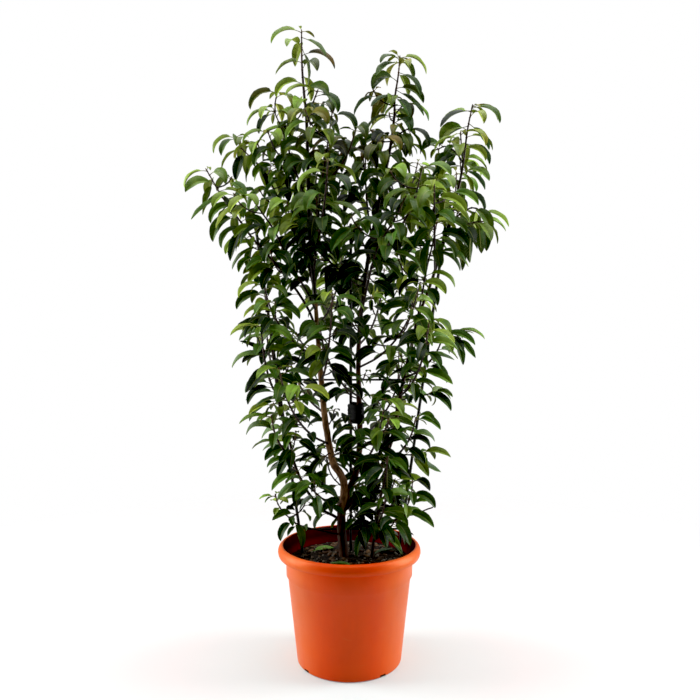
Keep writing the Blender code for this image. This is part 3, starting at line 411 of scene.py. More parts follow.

# Leaves that stand out in the photo, by the part of the bush: the pixel of each one's root and of
# its tip, its width in pixels, its size and its tone, which paints in the light and shade on the
# leaf as well as its own green
PHOTO_LEAVES = {
    "upper_left": (
        (233, 137, 222, 156, 9, 0.75, 0.55), (247, 153, 236, 182, 10, 0.95, 0.25),
        (256, 162, 268, 190, 12, 0.95, 0.2), (271, 113, 259, 134, 8, 0.8, 0.2),
        (213, 200, 191, 220, 6, 1.0, 0.65), (213, 186, 203, 206, 7, 0.75, 0.6),
        (243, 229, 222, 250, 6, 1.0, 0.5), (238, 232, 231, 262, 9, 1.0, 0.15)),
    "tops": (
        (309, 38, 326, 57, 6, 0.85, 0.6), (304, 53, 306, 85, 8, 1.0, 0.25),
        (394, 50, 380, 63, 7, 0.7, 0.55), (394, 62, 373, 79, 6, 0.95, 0.55),
        (405, 55, 413, 80, 8, 0.85, 0.5), (409, 70, 421, 96, 6, 0.95, 0.4),
        (407, 89, 424, 116, 7, 1.05, 0.5), (403, 100, 417, 122, 6, 0.9, 0.45),
        (385, 89, 371, 107, 6, 0.8, 0.5), (412, 128, 429, 148, 6, 0.9, 0.15)),
    "upper_right": (
        (466, 110, 441, 128, 10, 1.0, 0.2), (463, 127, 440, 145, 7, 0.95, 0.3),
        (478, 104, 500, 124, 7, 1.0, 0.65), (476, 126, 491, 150, 8, 0.95, 0.5),
        (474, 143, 490, 165, 8, 0.95, 0.4), (473, 169, 486, 190, 8, 0.85, 0.35)),
    "right": (
        (490, 223, 497, 252, 12, 0.9, 0.55), (479, 228, 482, 254, 11, 0.85, 0.35),
        (470, 228, 470, 263, 9, 1.05, 0.2), (458, 232, 462, 271, 8, 1.1, 0.4),
        (443, 240, 455, 260, 7, 0.8, 0.45), (431, 236, 427, 278, 8, 1.15, 0.5)),
    "lower_right_edge": (
        (429, 354, 455, 360, 5, 0.85, 0.5), (432, 369, 447, 383, 7, 0.8, 0.25),
        (439, 391, 453, 397, 6, 0.55, 0.65), (428, 395, 451, 411, 9, 0.95, 0.35),
        (418, 410, 435, 422, 8, 0.75, 0.65), (410, 440, 430, 449, 7, 0.75, 0.25),
        (427, 452, 451, 457, 10, 0.8, 0.8), (414, 462, 440, 473, 7, 0.95, 0.5),
        (411, 479, 430, 491, 7, 0.8, 0.1), (455, 340, 463, 365, 8, 0.85, 0.4),
        (462, 343, 476, 360, 7, 0.75, 0.55)),
    "lower_left_edge": (
        (261, 318, 238, 325, 6, 0.85, 0.35), (262, 320, 245, 338, 7, 0.85, 0.25),
        (266, 353, 238, 342, 4, 0.9, 0.2), (263, 367, 247, 392, 8, 0.95, 0.15),
        (268, 388, 248, 405, 7, 0.9, 0.15), (270, 400, 249, 422, 7, 1.0, 0.4),
        (276, 428, 246, 436, 6, 0.95, 0.5), (288, 456, 277, 478, 11, 0.8, 0.35)),
    "low_left": (
        (300, 467, 318, 482, 9, 0.75, 0.1), (327, 463, 327, 494, 6, 0.9, 0.5),
        (318, 458, 312, 482, 8, 0.8, 0.15), (331, 505, 345, 515, 7, 0.5, 0.4),
        (324, 512, 316, 530, 5, 0.6, 0.35), (298, 484, 297, 508, 10, 0.75, 0.05),
        (306, 502, 287, 508, 6, 0.6, 0.1), (297, 485, 277, 502, 6, 0.85, 0.6),
        (298, 524, 301, 548, 9, 0.75, 0.65), (289, 521, 281, 541, 7, 0.65, 0.3)),
    "low_right": (
        (338, 452, 368, 462, 6, 0.95, 0.15), (351, 489, 372, 481, 5, 0.7, 0.5),
        (352, 493, 361, 508, 7, 0.55, 0.3), (370, 519, 376, 541, 9, 0.7, 0.4),
        (368, 531, 357, 556, 9, 0.85, 0.35), (396, 524, 404, 545, 7, 0.7, 0.15),
        (378, 492, 384, 520, 10, 0.9, 0.05), (392, 484, 398, 512, 10, 0.9, 0.1),
        (380, 478, 375, 505, 9, 0.85, 0.1), (388, 468, 392, 498, 9, 0.95, 0.05),
        (384, 506, 389, 532, 9, 0.85, 0.1), (396, 504, 396, 530, 9, 0.85, 0.1)),
    "bare_twig": ((432, 499, 414, 504, 4, 0.5, 0.7),),
}
SEEN_TURNS = (0.0, 14.0, -14.0, 28.0, -28.0, 42.0, -42.0)
SEEN_ROLL = 30.0

# How a leaf of the photo finds its place on a stem and its bearing. Costs are in pixels
PHOTO_MIDDLE = (349.5, 350.0)
PIXELS_PER_METRE = 506.0
SEAT_START = 0.010
SEAT_STEP = 0.005
SEAT_END = 0.001
SEAT_SPACING = 0.004
SEATS_OF_STEM = 3
SEATS_TRIED = 8
ROOT_REACH = 7.5
TIP_REACH = 11.0
ROOT_COST = 0.6
WIDTH_COST = 0.7
WIDTH_PLACE = 0.45
SEAT_DEPTH_COST = 30.0
ROOT_DEPTH_COST = 12.0
TIP_DEPTH_COST = 6.0
SEEN_HEADINGS = range(-170, 190, 10)
SEEN_RISES = range(-60, 61, 10)
SEEN_FALLS = range(-100, 31, 10)
SEEN_UPTURN = 20
SEARCH_SLACK = 0.01

# Where new leaves keep the view of the bark open: the stem, from and up to that height
OPEN_VIEWS = (("trunk", 0.200, 0.300), ("stem_left", 0.300, 0.490), ("stem_middle", 0.455, 0.500))
VIEW_STEPS = 8
VIEW_START = 0.009
VIEW_SHARE = 0.13
VIEW_HALF_WIDTH = 0.007

# How far twigs may reach: height, left, right and depth to each side, up to that height
BUSH_OUTLINE = (
    (0.24, 0.00, 0.00, 0.00),
    (0.36, -0.12, 0.12, 0.11),
    (0.50, -0.14, 0.15, 0.14),
    (0.62, -0.16, 0.17, 0.15),
    (0.75, -0.17, 0.17, 0.16),
    (0.85, -0.22, 0.22, 0.16),
    (0.95, -0.24, 0.24, 0.14),
    (1.05, -0.20, 0.24, 0.11),
    (1.14, -0.15, 0.14, 0.07),
)

# Where the bush stays open between its tops: from that height up, left and right
BUSH_NOTCHES = ((1.04, -0.01, 0.035), (1.02, 0.135, 0.185))

# Bark of the trunk and its main stems, with a tone for each stem, which holds painted light and
# shade: the left stem lighter, as if lit, the trunk darker, as if shaded
TRUNK_SIDES = 18
TRUNK_RING_STEP = 0.004
TRUNK_VOXEL = 0.0014
FUSE_SMOOTHING = 4
FUSE_SMOOTHNESS = 0.5
BARK_STRETCH = 0.2
BARK_SCALE = 420.0
BARK_RELIEF = 0.0004
LUMP_SCALE = 90.0
LUMP_RELIEF = 0.0005
BARK_LIT_AND_SHADED_TONES = {"trunk": 0.25, "stem_left": 0.86, "stem_middle": 0.35, "stem_right": 0.20}

# Fine pot
BEAD_STEPS = 20
FOOT_STEPS = 4
# Painted shade on the inner wall above the compost: its edge, its softness and the heights of its ramp
INSIDE_SHADE_HEIGHTS = (0.203, 0.214)
INSIDE_SHADE_RADII = (0.1238, 0.1310)
SHADE_EDGE = 0.0015
INSIDE_SHADE_RAMP_HEIGHTS = (0.199, 0.210)
# Painted shade in the drain slots: the radii it spans
SLOT_SHADE_RADII = (0.1000, 0.1012)
# Painted sheen: the pot's left and right sides, by distance from the middle, lighter and paler
PAINTED_SHEEN_SIDES = (0.035, 0.105)
# Painted shade: a dark line in the crease under the rim's bead, between these heights
CREASE_UNDER = (0.1955, 0.2000)
CREASE_OVER = (0.2080, 0.2015)
POT_SHEEN = (1.0, 0.28, 0.10, 1.0)

# Rough compost with bits of bark and grit
SOIL_RINGS = 40
SOIL_STEPS = 150
CLOD_RELIEF = 0.0022
CLOD_SCALE = 70.0
CRUMB_RELIEF = 0.0009
CRUMB_SCALE = 260.0
LITTER_COUNT = 420
LITTER_MARGIN = 0.010
LITTER_LIFT = 0.4
LITTER_TILT = math.radians(25.0)
LITTER_ROUGHNESS = 0.35
LITTER_GRAIN = 1.7
LITTER_SHIFT = 50
GRIT_SHARE = 0.5
GRIT_STONE = (0.3, 1.0)
POST_DEPTH = 0.06

# Grit and bark chips: length, and height and width as shares of it
GRIT = ((0.0012, 0.0035), (0.5, 0.9), (0.6, 1.0))
CHIP = ((0.003, 0.0085), (0.16, 0.36), (0.35, 0.75))

# Fine trellis and wound ties
ROD_STEPS = 16
ROD_END_STEPS = 4
ROD_END_FLAT = 0.12
TIE_CLEARANCE = 0.0005
TAPE_STEPS = 8
TAPE_OVERLAP = 1.35
TAPE_SLIP = 0.9
TAPE_BULGE = 1.3
TAPE_THICKNESS = 0.0007
TAPE_OUTLINE = ((-1.0, -1.0), (1.0, -1.0), (1.0, 1.0), (-1.0, 1.0))
TAIL_STEPS = 6
TAIL_REACH = 0.012
TAIL_WIDTH = 0.005
TAIL_RISE = 0.001
TAIL_FALL = 0.016
TAIL_CURL = 0.4
TAIL_FORWARD = 0.5
TAPE_RUMPLE = (0.37, 40.0)
TAPE_UPWARD = Vector((0.0, 0.0, 1.0))
TAIL_UPWARD = Vector((0.0, 0.3, 1.0))

# Colours: red, green and blue as seen on screen. Each stop of a ramp has its place first
LEAF_GREENS = ((0.0, (0.015, 0.070, 0.022)), (0.32, (0.080, 0.215, 0.050)),
               (0.68, (0.325, 0.468, 0.125)), (1.0, (0.640, 0.735, 0.290)))
LEAF_CASTS = ((0.0, (0.89, 1.0, 0.90)), (1.0, (1.0, 0.96, 0.80)))
LEAF_BRONZE = (0.62, 0.34, 0.10)
BACK_GREENS = ((0.0, (0.100, 0.200, 0.055)), (0.5, (0.300, 0.420, 0.110)),
               (1.0, (0.610, 0.690, 0.220)))
BACK_BRONZE = (0.56, 0.36, 0.12)
STALK_GREENS = ((0.0, (0.36, 0.40, 0.17)), (1.0, (0.62, 0.63, 0.30)))
STALK_RED = (0.33, 0.15, 0.08)
TWIG_BROWNS = ((0.0, (0.21, 0.14, 0.09)), (0.45, (0.20, 0.10, 0.07)),
               (0.85, (0.25, 0.11, 0.07)), (1.0, (0.42, 0.28, 0.12)))
TWIG_STREAK = (0.10, 0.055, 0.045)
TWIG_PORES = (0.42, 0.32, 0.22)
BARK_BROWNS = ((0.0, (0.16, 0.09, 0.08)), (0.5, (0.36, 0.23, 0.15)), (1.0, (0.68, 0.51, 0.33)))
BARK_STREAK = (0.14, 0.085, 0.055)
BARK_PORES = (0.60, 0.50, 0.38)
POT_FRESH = ((0.35, (0.912, 0.276, 0.045)), (0.65, (0.935, 0.304, 0.056)))
# Painted sheen of the pot's left and right sides
POT_PAINTED_SHEEN = (0.898, 0.400, 0.115)
POT_FLOW = (0.875, 0.272, 0.050)
POT_SCUFF = (0.90, 0.42, 0.19)
# Painted shade in the crease under the bead
POT_CREASE_SHADE = (0.62, 0.12, 0.03)
# Painted shade on the inner wall: dark red
POT_INSIDE_SHADE = ((0.0, (0.38, 0.0, 0.12)), (1.0, (0.19, 0.0, 0.06)))
# Painted shade in the drain slots
POT_SLOT_SHADE = (0.16, 0.04, 0.02)
COMPOST_BROWNS = ((0.34, (0.045, 0.032, 0.026)), (0.56, (0.140, 0.098, 0.070)),
                  (0.72, (0.420, 0.320, 0.220)))
COMPOST_CLOD = (0.09, 0.065, 0.05)
LITTER_BROWNS = ((0.0, (0.14, 0.09, 0.06)), (0.5, (0.33, 0.22, 0.14)), (1.0, (0.56, 0.43, 0.30)))
LITTER_STONE = (0.55, 0.52, 0.47)
LITTER_DARK = (0.10, 0.07, 0.05)
ROD_BLACKS = ((0.40, (0.050, 0.052, 0.050)), (0.75, (0.135, 0.135, 0.125)))
TAPE_BLACKS = ((0.35, (0.020, 0.020, 0.022)), (0.70, (0.080, 0.080, 0.084)))
FALLEN_GREENS = ((0.0, (0.20, 0.30, 0.19)), (1.0, (0.42, 0.60, 0.19)))
FALLEN_BLOTCH = (0.36, 0.24, 0.11)

# Veins: the share and colour of the side veins, the reach, share and colour of the midrib
FACE_VEINS = (0.12, (0.55, 0.64, 0.30), (0.03, 0.11), 0.55, (0.62, 0.66, 0.32))
BACK_VEINS = (0.35, (0.66, 0.70, 0.40), (0.05, 0.14), 0.8, (0.70, 0.72, 0.42))
FALLEN_VEINS = (0.3, (0.60, 0.70, 0.36), (0.04, 0.12), 0.7, (0.64, 0.72, 0.40))

# Studio
FLOOR_SIZE = 14.0
FLOOR_FADE = (0.25, 1.6)
FLOOR_SHARE = 0.8
# Painted against light: near the pot the floor is less red, to take back the red light that the pot
# throws on it; farther off it is a pale pink
BOUNCE_TINT_REACH = (0.10, 0.42)
FLOOR_COLOURS_AGAINST_BOUNCE = ((0.868, 0.920, 0.918), (0.918, 0.880, 0.876))
WORLD_STRENGTH = 0.36
WORLD_FRONT = (-0.5, 0.6)
WORLD_FRONT_SHARE = 0.08
WHITE = (1.0, 1.0, 1.0, 1.0)
BLACK_LEVEL = 0.006
LIGHT_AIM = Vector((0.0, 0.0, 0.6))
SOFT_LIGHTS = {
    "soft_left": ((-1.9, 0.1, 1.0), (1.0, 2.2), 54.0),
    "soft_right": ((1.9, 0.1, 1.0), (1.0, 2.2), 54.0),
    "soft_top": ((0.0, 0.0, 4.0), (3.6, 3.6), 125.0),
}


def between(value, low, high):
    """A value kept within its limits."""
    return min(max(value, low), high)


def bearing(heading, rise):
    """The direction with a heading, from +X towards +Y, and a rise above level."""
    return Vector((math.cos(rise) * math.cos(heading), math.cos(rise) * math.sin(heading),
                   math.sin(rise)))


class Route:
    """A smooth line through a few points, measured along its length."""

    def __init__(self, points):
        points = [Vector(point) for point in points]
        ends = [2 * points[0] - points[1], *points, 2 * points[-1] - points[-2]]
        self.points = []
        for before, start, end, after in zip(ends, ends[1:], ends[2:], ends[3:]):
            for step in range(CURVE_STEPS):
                t = step / CURVE_STEPS
                self.points.append(0.5 * (
                    2 * start + (end - before) * t
                    + (2 * before - 5 * start + 4 * end - after) * t ** 2
                    + (3 * start - before - 3 * end + after) * t ** 3
                ))
        self.points.append(points[-1])
        self.marks = [0.0]
        for one, two in zip(self.points, self.points[1:]):
            self.marks.append(self.marks[-1] + (two - one).length)
        self.length = self.marks[-1]

    def at(self, distance):
        """The point at a distance from the start."""
        distance = between(distance, 0.0, self.length)
        for index in range(1, len(self.marks)):
            if self.marks[index] >= distance:
                break
        span = self.marks[index] - self.marks[index - 1]
        return self.points[index - 1].lerp(
            self.points[index], (distance - self.marks[index - 1]) / span)

    def direction(self, distance):
        """The direction of growth at a distance from the start."""
        return (self.at(distance + DIRECTION_REACH)
                - self.at(distance - DIRECTION_REACH)).normalized()

    def stations(self, start=None, end=None):
        """Distances along the route that are close enough together to follow its bends."""
        if start is None:
            return self.stations(0.0, self.length) + [self.length]
        middle = (start + end) / 2
        off = (self.at(middle) - (self.at(start) + self.at(end)) / 2).length
        quarter = start + (end - start) / 4
        off_quarter = (self.at(quarter) - self.at(start).lerp(self.at(end), 0.25)).length
        if max(off, off_quarter) < BEND_TOLERANCE:
            return [start]
        return self.stations(start, middle) + self.stations(middle, end)

    def distance_at_height(self, height):
        """How far along the route first reaches a height."""
        for index in range(1, len(self.marks)):
            low = self.points[index - 1].z
            high = self.points[index].z
            if high >= height:
                share = (height - low) / (high - low)
                return self.marks[index - 1] * (1 - share) + self.marks[index] * share
        return self.length


def seen_route(points):
    """A route through points given in millimetres."""
    return Route([[value / 1000 for value in point] for point in points])


class Stem:
    """A tapering stem: its route and radii, where its leaves start and their size."""

    def __init__(self, route, base_radius, tip_radius, sides, bare=None, leaf_size=1.0):
        self.route = route
        self.base_radius = base_radius
        self.tip_radius = tip_radius
        self.sides = sides
        self.bare = bare
        self.leaf_size = leaf_size
        self.stations = route.stations()

    def radius(self, distance):
        """The stem's radius at a distance from its start."""
        share = between(distance / self.route.length, 0.0, 1.0)
        return self.base_radius + (self.tip_radius - self.base_radius) * share

    def centre(self, distance):
        """The middle of the stem's straight-sided tube at a distance from its start."""
        for start, end in zip(self.stations, self.stations[1:]):
            if end >= distance:
                break
        share = (distance - start) / (end - start)
        return self.route.at(start).lerp(self.route.at(end), share)

    def tube(self):
        """Corners and faces of the stem."""
        rings = [(distance, self.radius(distance)) for distance in self.stations]
        return turned_rings(self.route, rings, self.sides), tube_faces(len(rings), self.sides)


def stalk_length(size):
    """The length of a leaf's stalk, which varies half as much as its blade."""
    return LEAF_PETIOLE * (1 + size) / 2


class Leaf:
    """A stalked blade that springs from a stem and arches over."""

    def __init__(self, start, root, heading, rise, fall, size, sweep, roll):
        self.start = start
        self.root = root
        self.heading = heading
        self.rise = rise
        self.fall = fall
        self.size = size
        self.sweep = sweep
        self.roll = roll
        self.petiole = stalk_length(size)
        self.blade = LEAF_BLADE * size
        self.width = LEAF_WIDTH * (1 + 3 * size) / 4
        self.line = self.midrib()

    def direction(self, share):
        """The midrib's direction at a share of the whole length."""
        return bearing(self.heading + self.sweep * share,
                       self.rise + (self.fall - self.rise) * share)

    def midrib(self):
        """Points of the stalk and midrib from the stem to the tip."""
        step = (self.petiole + self.blade) / LEAF_LINE_STEPS
        points = [self.start.copy()]
        for index in range(LEAF_LINE_STEPS):
            points.append(points[-1] + step * self.direction((index + 0.5) / LEAF_LINE_STEPS))
        return points

    def at(self, distance):
        """The midrib's point, side and upper direction at a distance from the stem."""
        share = min(distance / (self.petiole + self.blade), 1.0)
        place = share * LEAF_LINE_STEPS
        index = min(int(place), LEAF_LINE_STEPS - 1)
        point = self.line[index].lerp(self.line[index + 1], place - index)
        along = self.direction(share)
        heading = self.heading + self.sweep * share
        level = Vector((-math.sin(heading), math.cos(heading), 0.0))
        upper = along.cross(level)
        side = level * math.cos(self.roll) + upper * math.sin(self.roll)
        return point, side, along.cross(side)


def leaf_solid(leaf, inner, margin=0.0):
    """Corners and faces of a leaf from `inner` out, larger by `margin` all round.

    The stalk has a left, a right and a low corner at each end. The blade has a left, a right, a
    low and a high corner at each section, and ends in a point.
    """
    corners = []
    for distance, half_width in ((inner, leaf.root), (leaf.petiole, PETIOLE_WIDTH / 2)):
        point, side, upper = leaf.at(distance)
        stalk = half_width + margin
        corners += [point + side * stalk + upper * stalk * PETIOLE_FLATNESS,
                    point - side * stalk + upper * stalk * PETIOLE_FLATNESS,
                    point - upper * stalk]
    for share, fullness in BLADE_SECTIONS:
        point, side, upper = leaf.at(leaf.petiole + share * leaf.blade)
        half = leaf.width / 2 * fullness + margin
        raised = half * math.sin(LEAF_FOLD)
        half_thick = LEAF_THICKNESS / 2 + margin
        corners += [point + side * half * math.cos(LEAF_FOLD) + upper * raised,
                    point - side * half * math.cos(LEAF_FOLD) + upper * raised,
                    point - upper * half_thick,
                    point + upper * half_thick]
    point, side, upper = leaf.at(leaf.petiole + leaf.blade)
    corners.append(point + (point - corners[-1]).normalized() * margin)
    faces = [(0, 2, 1)]
    faces += [(0, 1, 4), (0, 4, 3), (1, 2, 5), (1, 5, 4), (2, 0, 3), (2, 3, 5)]
    faces += [(3, 9, 6), (3, 4, 9), (4, 7, 9), (3, 6, 8), (3, 8, 5), (4, 5, 8), (4, 8, 7)]
    faces += [(6, 9, 13), (6, 13, 10), (6, 12, 8), (6, 10, 12)]
    faces += [(7, 13, 9), (7, 11, 13), (7, 8, 12), (7, 12, 11)]
    faces += [(10, 13, 14), (13, 11, 14), (11, 12, 14), (12, 10, 14)]
    return corners, faces


def draw_leaf(name, index, stem, distance, turn_shift, fall_shift):
    """One leaf by its number from its stem's tip, turned and lowered from there by the shifts."""
    draw = random.Random(f"{name} {index}")
    start = stem.centre(distance)
    share = distance / stem.route.length
    along = stem.route.direction(distance)
    flat = along.cross(Vector((0.0, 1.0, 0.0))).normalized()
    other = along.cross(flat)
    away = stem.route.at(stem.route.length) * Vector((1.0, 1.0, 0.0))
    turn = math.atan2(away.dot(other), away.dot(flat)) + index * LEAF_TURN
    turn += math.radians(draw.uniform(-LEAF_SCATTER, LEAF_SCATTER) + turn_shift)
    out = flat * math.cos(turn) + other * math.sin(turn)
    closed = LEAF_CLOSING * share ** LEAF_CLOSING_POWER
    opening = math.radians(draw.uniform(*LEAF_OPENING) - closed)
    first = along * math.cos(opening) + out * math.sin(opening)
    level = first + LEAF_OUTWARD * out
    heading = math.atan2(level.y, level.x)
    rise = between(math.asin(between(first.z, -1.0, 1.0)), *LEAF_RISE_LIMITS)
    flatness = between((LEAF_FLAT_HEIGHTS[1] - start.z)
                       / (LEAF_FLAT_HEIGHTS[1] - LEAF_FLAT_HEIGHTS[0]), 0.0, 1.0)
    fall = math.radians(draw.uniform(*LEAF_FALL) + LEAF_FLATTER * flatness - fall_shift)
    young = between(1.0 - (stem.route.length - distance) / YOUNG_LENGTH, 0.0, 1.0)
    size = draw.uniform(*LEAF_SIZE) * stem.leaf_size
    size *= (1.0 - YOUNG_LOSS * young) * (1.0 - LOW_LOSS * flatness)
    if distance < stem.bare + LOWEST_LENGTH:
        size *= LOWEST_SIZE
    sweep = math.radians(draw.uniform(-LEAF_SWEEP, LEAF_SWEEP))
    facing = LEAF_FACING[0] + (LEAF_FACING[1] - LEAF_FACING[0]) * flatness
    roll = math.radians(draw.uniform(-LEAF_ROLL, LEAF_ROLL) + facing * math.cos(heading))
    return Leaf(start, ROOT_SHARE * stem.radius(distance), heading, rise,
                max(fall, LEAF_STEEPEST), size, sweep, roll)


def rising_route(start, heading, length, rises):
    """The route of a shoot that leaves its parent low and then turns up."""
    points = [start]
    step = length / (SIDE_POINTS - 1)
    for index in range(SIDE_POINTS - 1):
        share = index / (SIDE_POINTS - 2)
        points.append(points[-1] + step * bearing(heading, rises[0] + (rises[1] - rises[0]) * share))
    return Route(points)


def side_route(parent, height, heading, length):
    """The route of a side shoot that forks from its parent at a height."""
    start = parent.centre(parent.route.distance_at_height(height))
    return rising_route(start, math.radians(heading), length, SIDE_RISE)


def make_stems():
    """Every stem by its name, and the name of the stem that carries each."""
    stems = {}
    parents = {}
    for name, (base_radius, tip_radius, points) in WOODY_STEMS.items():
        stems[name] = Stem(seen_route(points), base_radius, tip_radius, WOODY_SIDES)
    for name, (parent, base_radius, bare, points) in SEEN_SHOOTS.items():
        sides = LEADER_SIDES if base_radius > LEADER_RADIUS else SHOOT_SIDES
        stems[name] = Stem(seen_route(points), base_radius, TIP_RADIUS, sides, bare,
                           SMALL_LEAVED.get(name, 1.0))
        parents[name] = parent
    for name, (parent, height, heading, length) in SIDE_SHOOTS.items():
        route = side_route(stems[parent], height, heading, length)
        stems[name] = Stem(route, SIDE_RADIUS, TIP_RADIUS, SHOOT_SIDES, SIDE_BARE)
        parents[name] = parent
    for name, (carrier, points) in TWIGS.items():
        stems[name] = Stem(seen_route(points), TWIG_RADIUS, TIP_RADIUS, SHOOT_SIDES, TWIG_BARE)
        parents[name] = carrier
    return stems, parents


class Clearings:
    """What stands in the way of the leaves that are still to be placed, by cells of space."""

    def __init__(self):
        self.cells = {}

    def span(self, low, high):
        """The cells that a box reaches into."""
        spans = [range(int(low[axis] // CELL), int(high[axis] // CELL) + 1) for axis in range(3)]
        return [(x, y, z) for x in spans[0] for y in spans[1] for z in spans[2]]

    def add(self, corners, faces, name=None):
        """Keep a solid that later leaves have to miss."""
        item = (*limits(corners), BVHTree.FromPolygons(corners, faces), name)
        for cell in self.span(item[0], item[1]):
            self.cells.setdefault(cell, []).append(item)

    def is_clear(self, corners, faces, besides=None):
        """Whether a solid misses everything kept so far, besides the stem that it may touch."""
        low, high = limits(corners)
        tree = BVHTree.FromPolygons(corners, faces)
        near = {id(item): item for cell in self.span(low, high)
                for item in self.cells.get(cell, ())}
        for item_low, item_high, item_tree, item_name in near.values():
            if besides and item_name == besides:
                continue
            apart = any(item_low[axis] > high[axis] or item_high[axis] < low[axis]
                        for axis in range(3))
            if not apart and tree.overlap(item_tree):
                return False
        return True


def limits(corners):
    """The lowest and highest corner of a box round some corners."""
    return ([min(corner[axis] for corner in corners) for axis in range(3)],
            [max(corner[axis] for corner in corners) for axis in range(3)])


class Shape:
    """Collects the corners and faces of one piece, with what its materials read from them.

    Each corner has a place, which is how far across and along its leaf or stem it is and a number
    of its own, and a tint, which is tone, blush and shade. Litter has its share of stone for blush.
    Each face has the number of its material.
    """

    def __init__(self):
        self.corners = []
        self.faces = []
        self.kinds = []
        self.places = []
        self.tints = []

    def add_plain(self, corners, faces, tint=(0.0, 0.0, 0.0)):
        """Add one closed part whose material doesn't read the corners' places."""
        self.add(corners, faces, [0] * len(faces), [(0.0, 0.0, 0.0)] * len(corners), tint)

    def add(self, corners, faces, kinds, places, tint):
        """Add one closed part."""
        first = len(self.corners)
        self.corners += corners
        self.faces += [tuple(first + corner for corner in face) for face in faces]
        self.kinds += kinds
        self.places += places
        self.tints += [tint] * len(corners)


def new_object(name, corners=(), faces=()):
    """An object of a mesh of its own, in the scene."""
    mesh = bpy.data.meshes.new(name)
    mesh.from_pydata(corners, [], faces)
    thing = bpy.data.objects.new(name, mesh)
    bpy.context.scene.collection.objects.link(thing)
    return thing


def label_corners(mesh, label, values):
    """Keep three numbers for each corner of a mesh, for its materials to read."""
    layer = mesh.attributes.new(label, "FLOAT_VECTOR", "POINT")
    layer.data.foreach_set("vector", [number for value in values for number in value])


def make_piece(name, shape, materials, slot, *nodes):
    """A piece of the part from a shape, which stands for the frame's nodes named with it."""
    piece = new_object(name, shape.corners, shape.faces)
    piece.data.polygons.foreach_set("material_index", shape.kinds)
    label_corners(piece.data, "place", shape.places)
    label_corners(piece.data, "tint", shape.tints)
    settle(piece, materials, slot, *nodes)


def settle(piece, materials, slot, *nodes):
    """Give an object its materials and its place in the frame."""
    for material in materials:
        piece.data.materials.append(material)
    piece.data.shade_smooth()
    piece.data.set_sharp_from_angle(angle=SHARP_ANGLE)
    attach(piece, "root")
    if nodes:
        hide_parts(*nodes)


def turned_rings(route, rings, sides):
    """Corners of rings round a route, each given by its distance and radius."""
    corners = []
    across = route.direction(0.0).orthogonal().normalized()
    for distance, radius in rings:
        inner = between(distance, 0.0, route.length)
        along = route.direction(inner)
        centre = route.at(inner) + along * (distance - inner)
        across = (across - across.dot(along) * along).normalized()
        other = along.cross(across)
        for side in range(sides):
            turn = math.tau * side / sides
            corners.append(centre + radius * (math.cos(turn) * across + math.sin(turn) * other))
    return corners


def ring_faces(rings, sides):
    """Faces between rings of corners that turn about a direction."""
    faces = []
    for low in range((rings - 1) * sides):
        next_low = low + 1 if (low + 1) % sides else low + 1 - sides
        faces.append((low, next_low, next_low + sides, low + sides))
    return faces


def tube_faces(rings, sides):
    """Faces of a closed tube of rings that turn about its direction, with flat ends."""
    return [*ring_faces(rings, sides), tuple(range(sides - 1, -1, -1)),
            tuple(range((rings - 1) * sides, rings * sides))]


def add_stem(shape, stem, knots, tint):
    """A smooth tapering stem with a swelling at each leaf and a bud at its tip."""
    route = stem.route
    steps = max(2, round(route.length / STEM_RING_STEP))
    distances = {route.length * step / steps for step in range(steps + 1)}
    for knot in knots:
        distances |= {knot - KNOT_LENGTH, knot, knot + KNOT_LENGTH}
    distances = sorted(distance for distance in distances if 0.0 <= distance <= route.length)
    rings = [(distance, full_radius(stem, distance) + (KNOT_RISE if distance in knots else 0.0))
             for distance in distances]
    rings += [(route.length + ahead, radius) for ahead, radius in TIP_BUD_OUTLINE]
    corners = turned_rings(route, rings, STEM_SIDES)
    places = [(side / STEM_SIDES, distance / route.length, distance)
              for distance, _ in rings for side in range(STEM_SIDES)]
    faces = tube_faces(len(rings), STEM_SIDES)
    shape.add(corners, faces, [BARK] * len(faces), places, tint)


def full_radius(stem, distance):
    """A leafy stem's radius with its bark, which tapers late."""
    share = between(distance / stem.route.length, 0.0, 1.0)
    taper = stem.base_radius - stem.tip_radius
    return stem.tip_radius + taper * (1.0 - share ** STEM_FULLNESS) + BARK_SKIN


def fullness(share):
    """A blade's half width at a share of its length, from 0 to 1."""
    share = between(share, 0.0, 1.0)
    return ((share / BLADE_WIDEST) ** BLADE_BASE_POWER
            * ((1.0 - share) / (1.0 - BLADE_WIDEST)) ** BLADE_TIP_POWER)


def ease(value):
    """A smooth step from 0 to 1."""
    value = between(value, 0.0, 1.0)
    return value * value * (3.0 - 2.0 * value)


def leaf_ring(leaf, distance, phase):
    """Corners of one ring of a fine leaf, with their places: above from left to right, then below."""
    point, side, upper = leaf.at(distance)
    share = (distance - leaf.petiole) / leaf.blade
    half = leaf.width / 2 * fullness(share)
    opened = ease(share / BLADE_OPENING)
    rib = MIDRIB_DEPTH * (1.0 - MIDRIB_TAPER * share) + LEAF_SKIN
    stalk = STALK_RADIUS + (STALK_FOOT - STALK_RADIUS) * (1.0 - ease(distance / STALK_FOOT_LENGTH))
    corners = []
    places = []
    for layer, shares in ((1.0, ACROSS), (-1.0, ACROSS[-2:0:-1])):
        for across in shares:
            out = abs(across)
            bowl = math.sin(LEAF_FOLD) * ((1.0 + LEAF_RECURVE) * out - LEAF_RECURVE * out ** 2)
            wave = LEAF_WAVE * out ** 3 * math.sin(
                math.tau * (LEAF_WAVES * share + phase) + WAVE_LAG * across)
            skin = layer * LEAF_SKIN * math.sqrt(1.0 - out * out)
            if across == 0.0:
                skin = -LEAF_GROOVE if layer > 0 else -rib
            level = half * (bowl + wave) + skin
            turn = math.acos(across)
            blade = side * half * math.cos(LEAF_FOLD) * across + upper * level
            round_stalk = stalk * (side * across + upper * layer * math.sin(turn))
            corners.append(point + round_stalk.lerp(blade, opened))
            places.append((across, share, layer))
    return corners, places


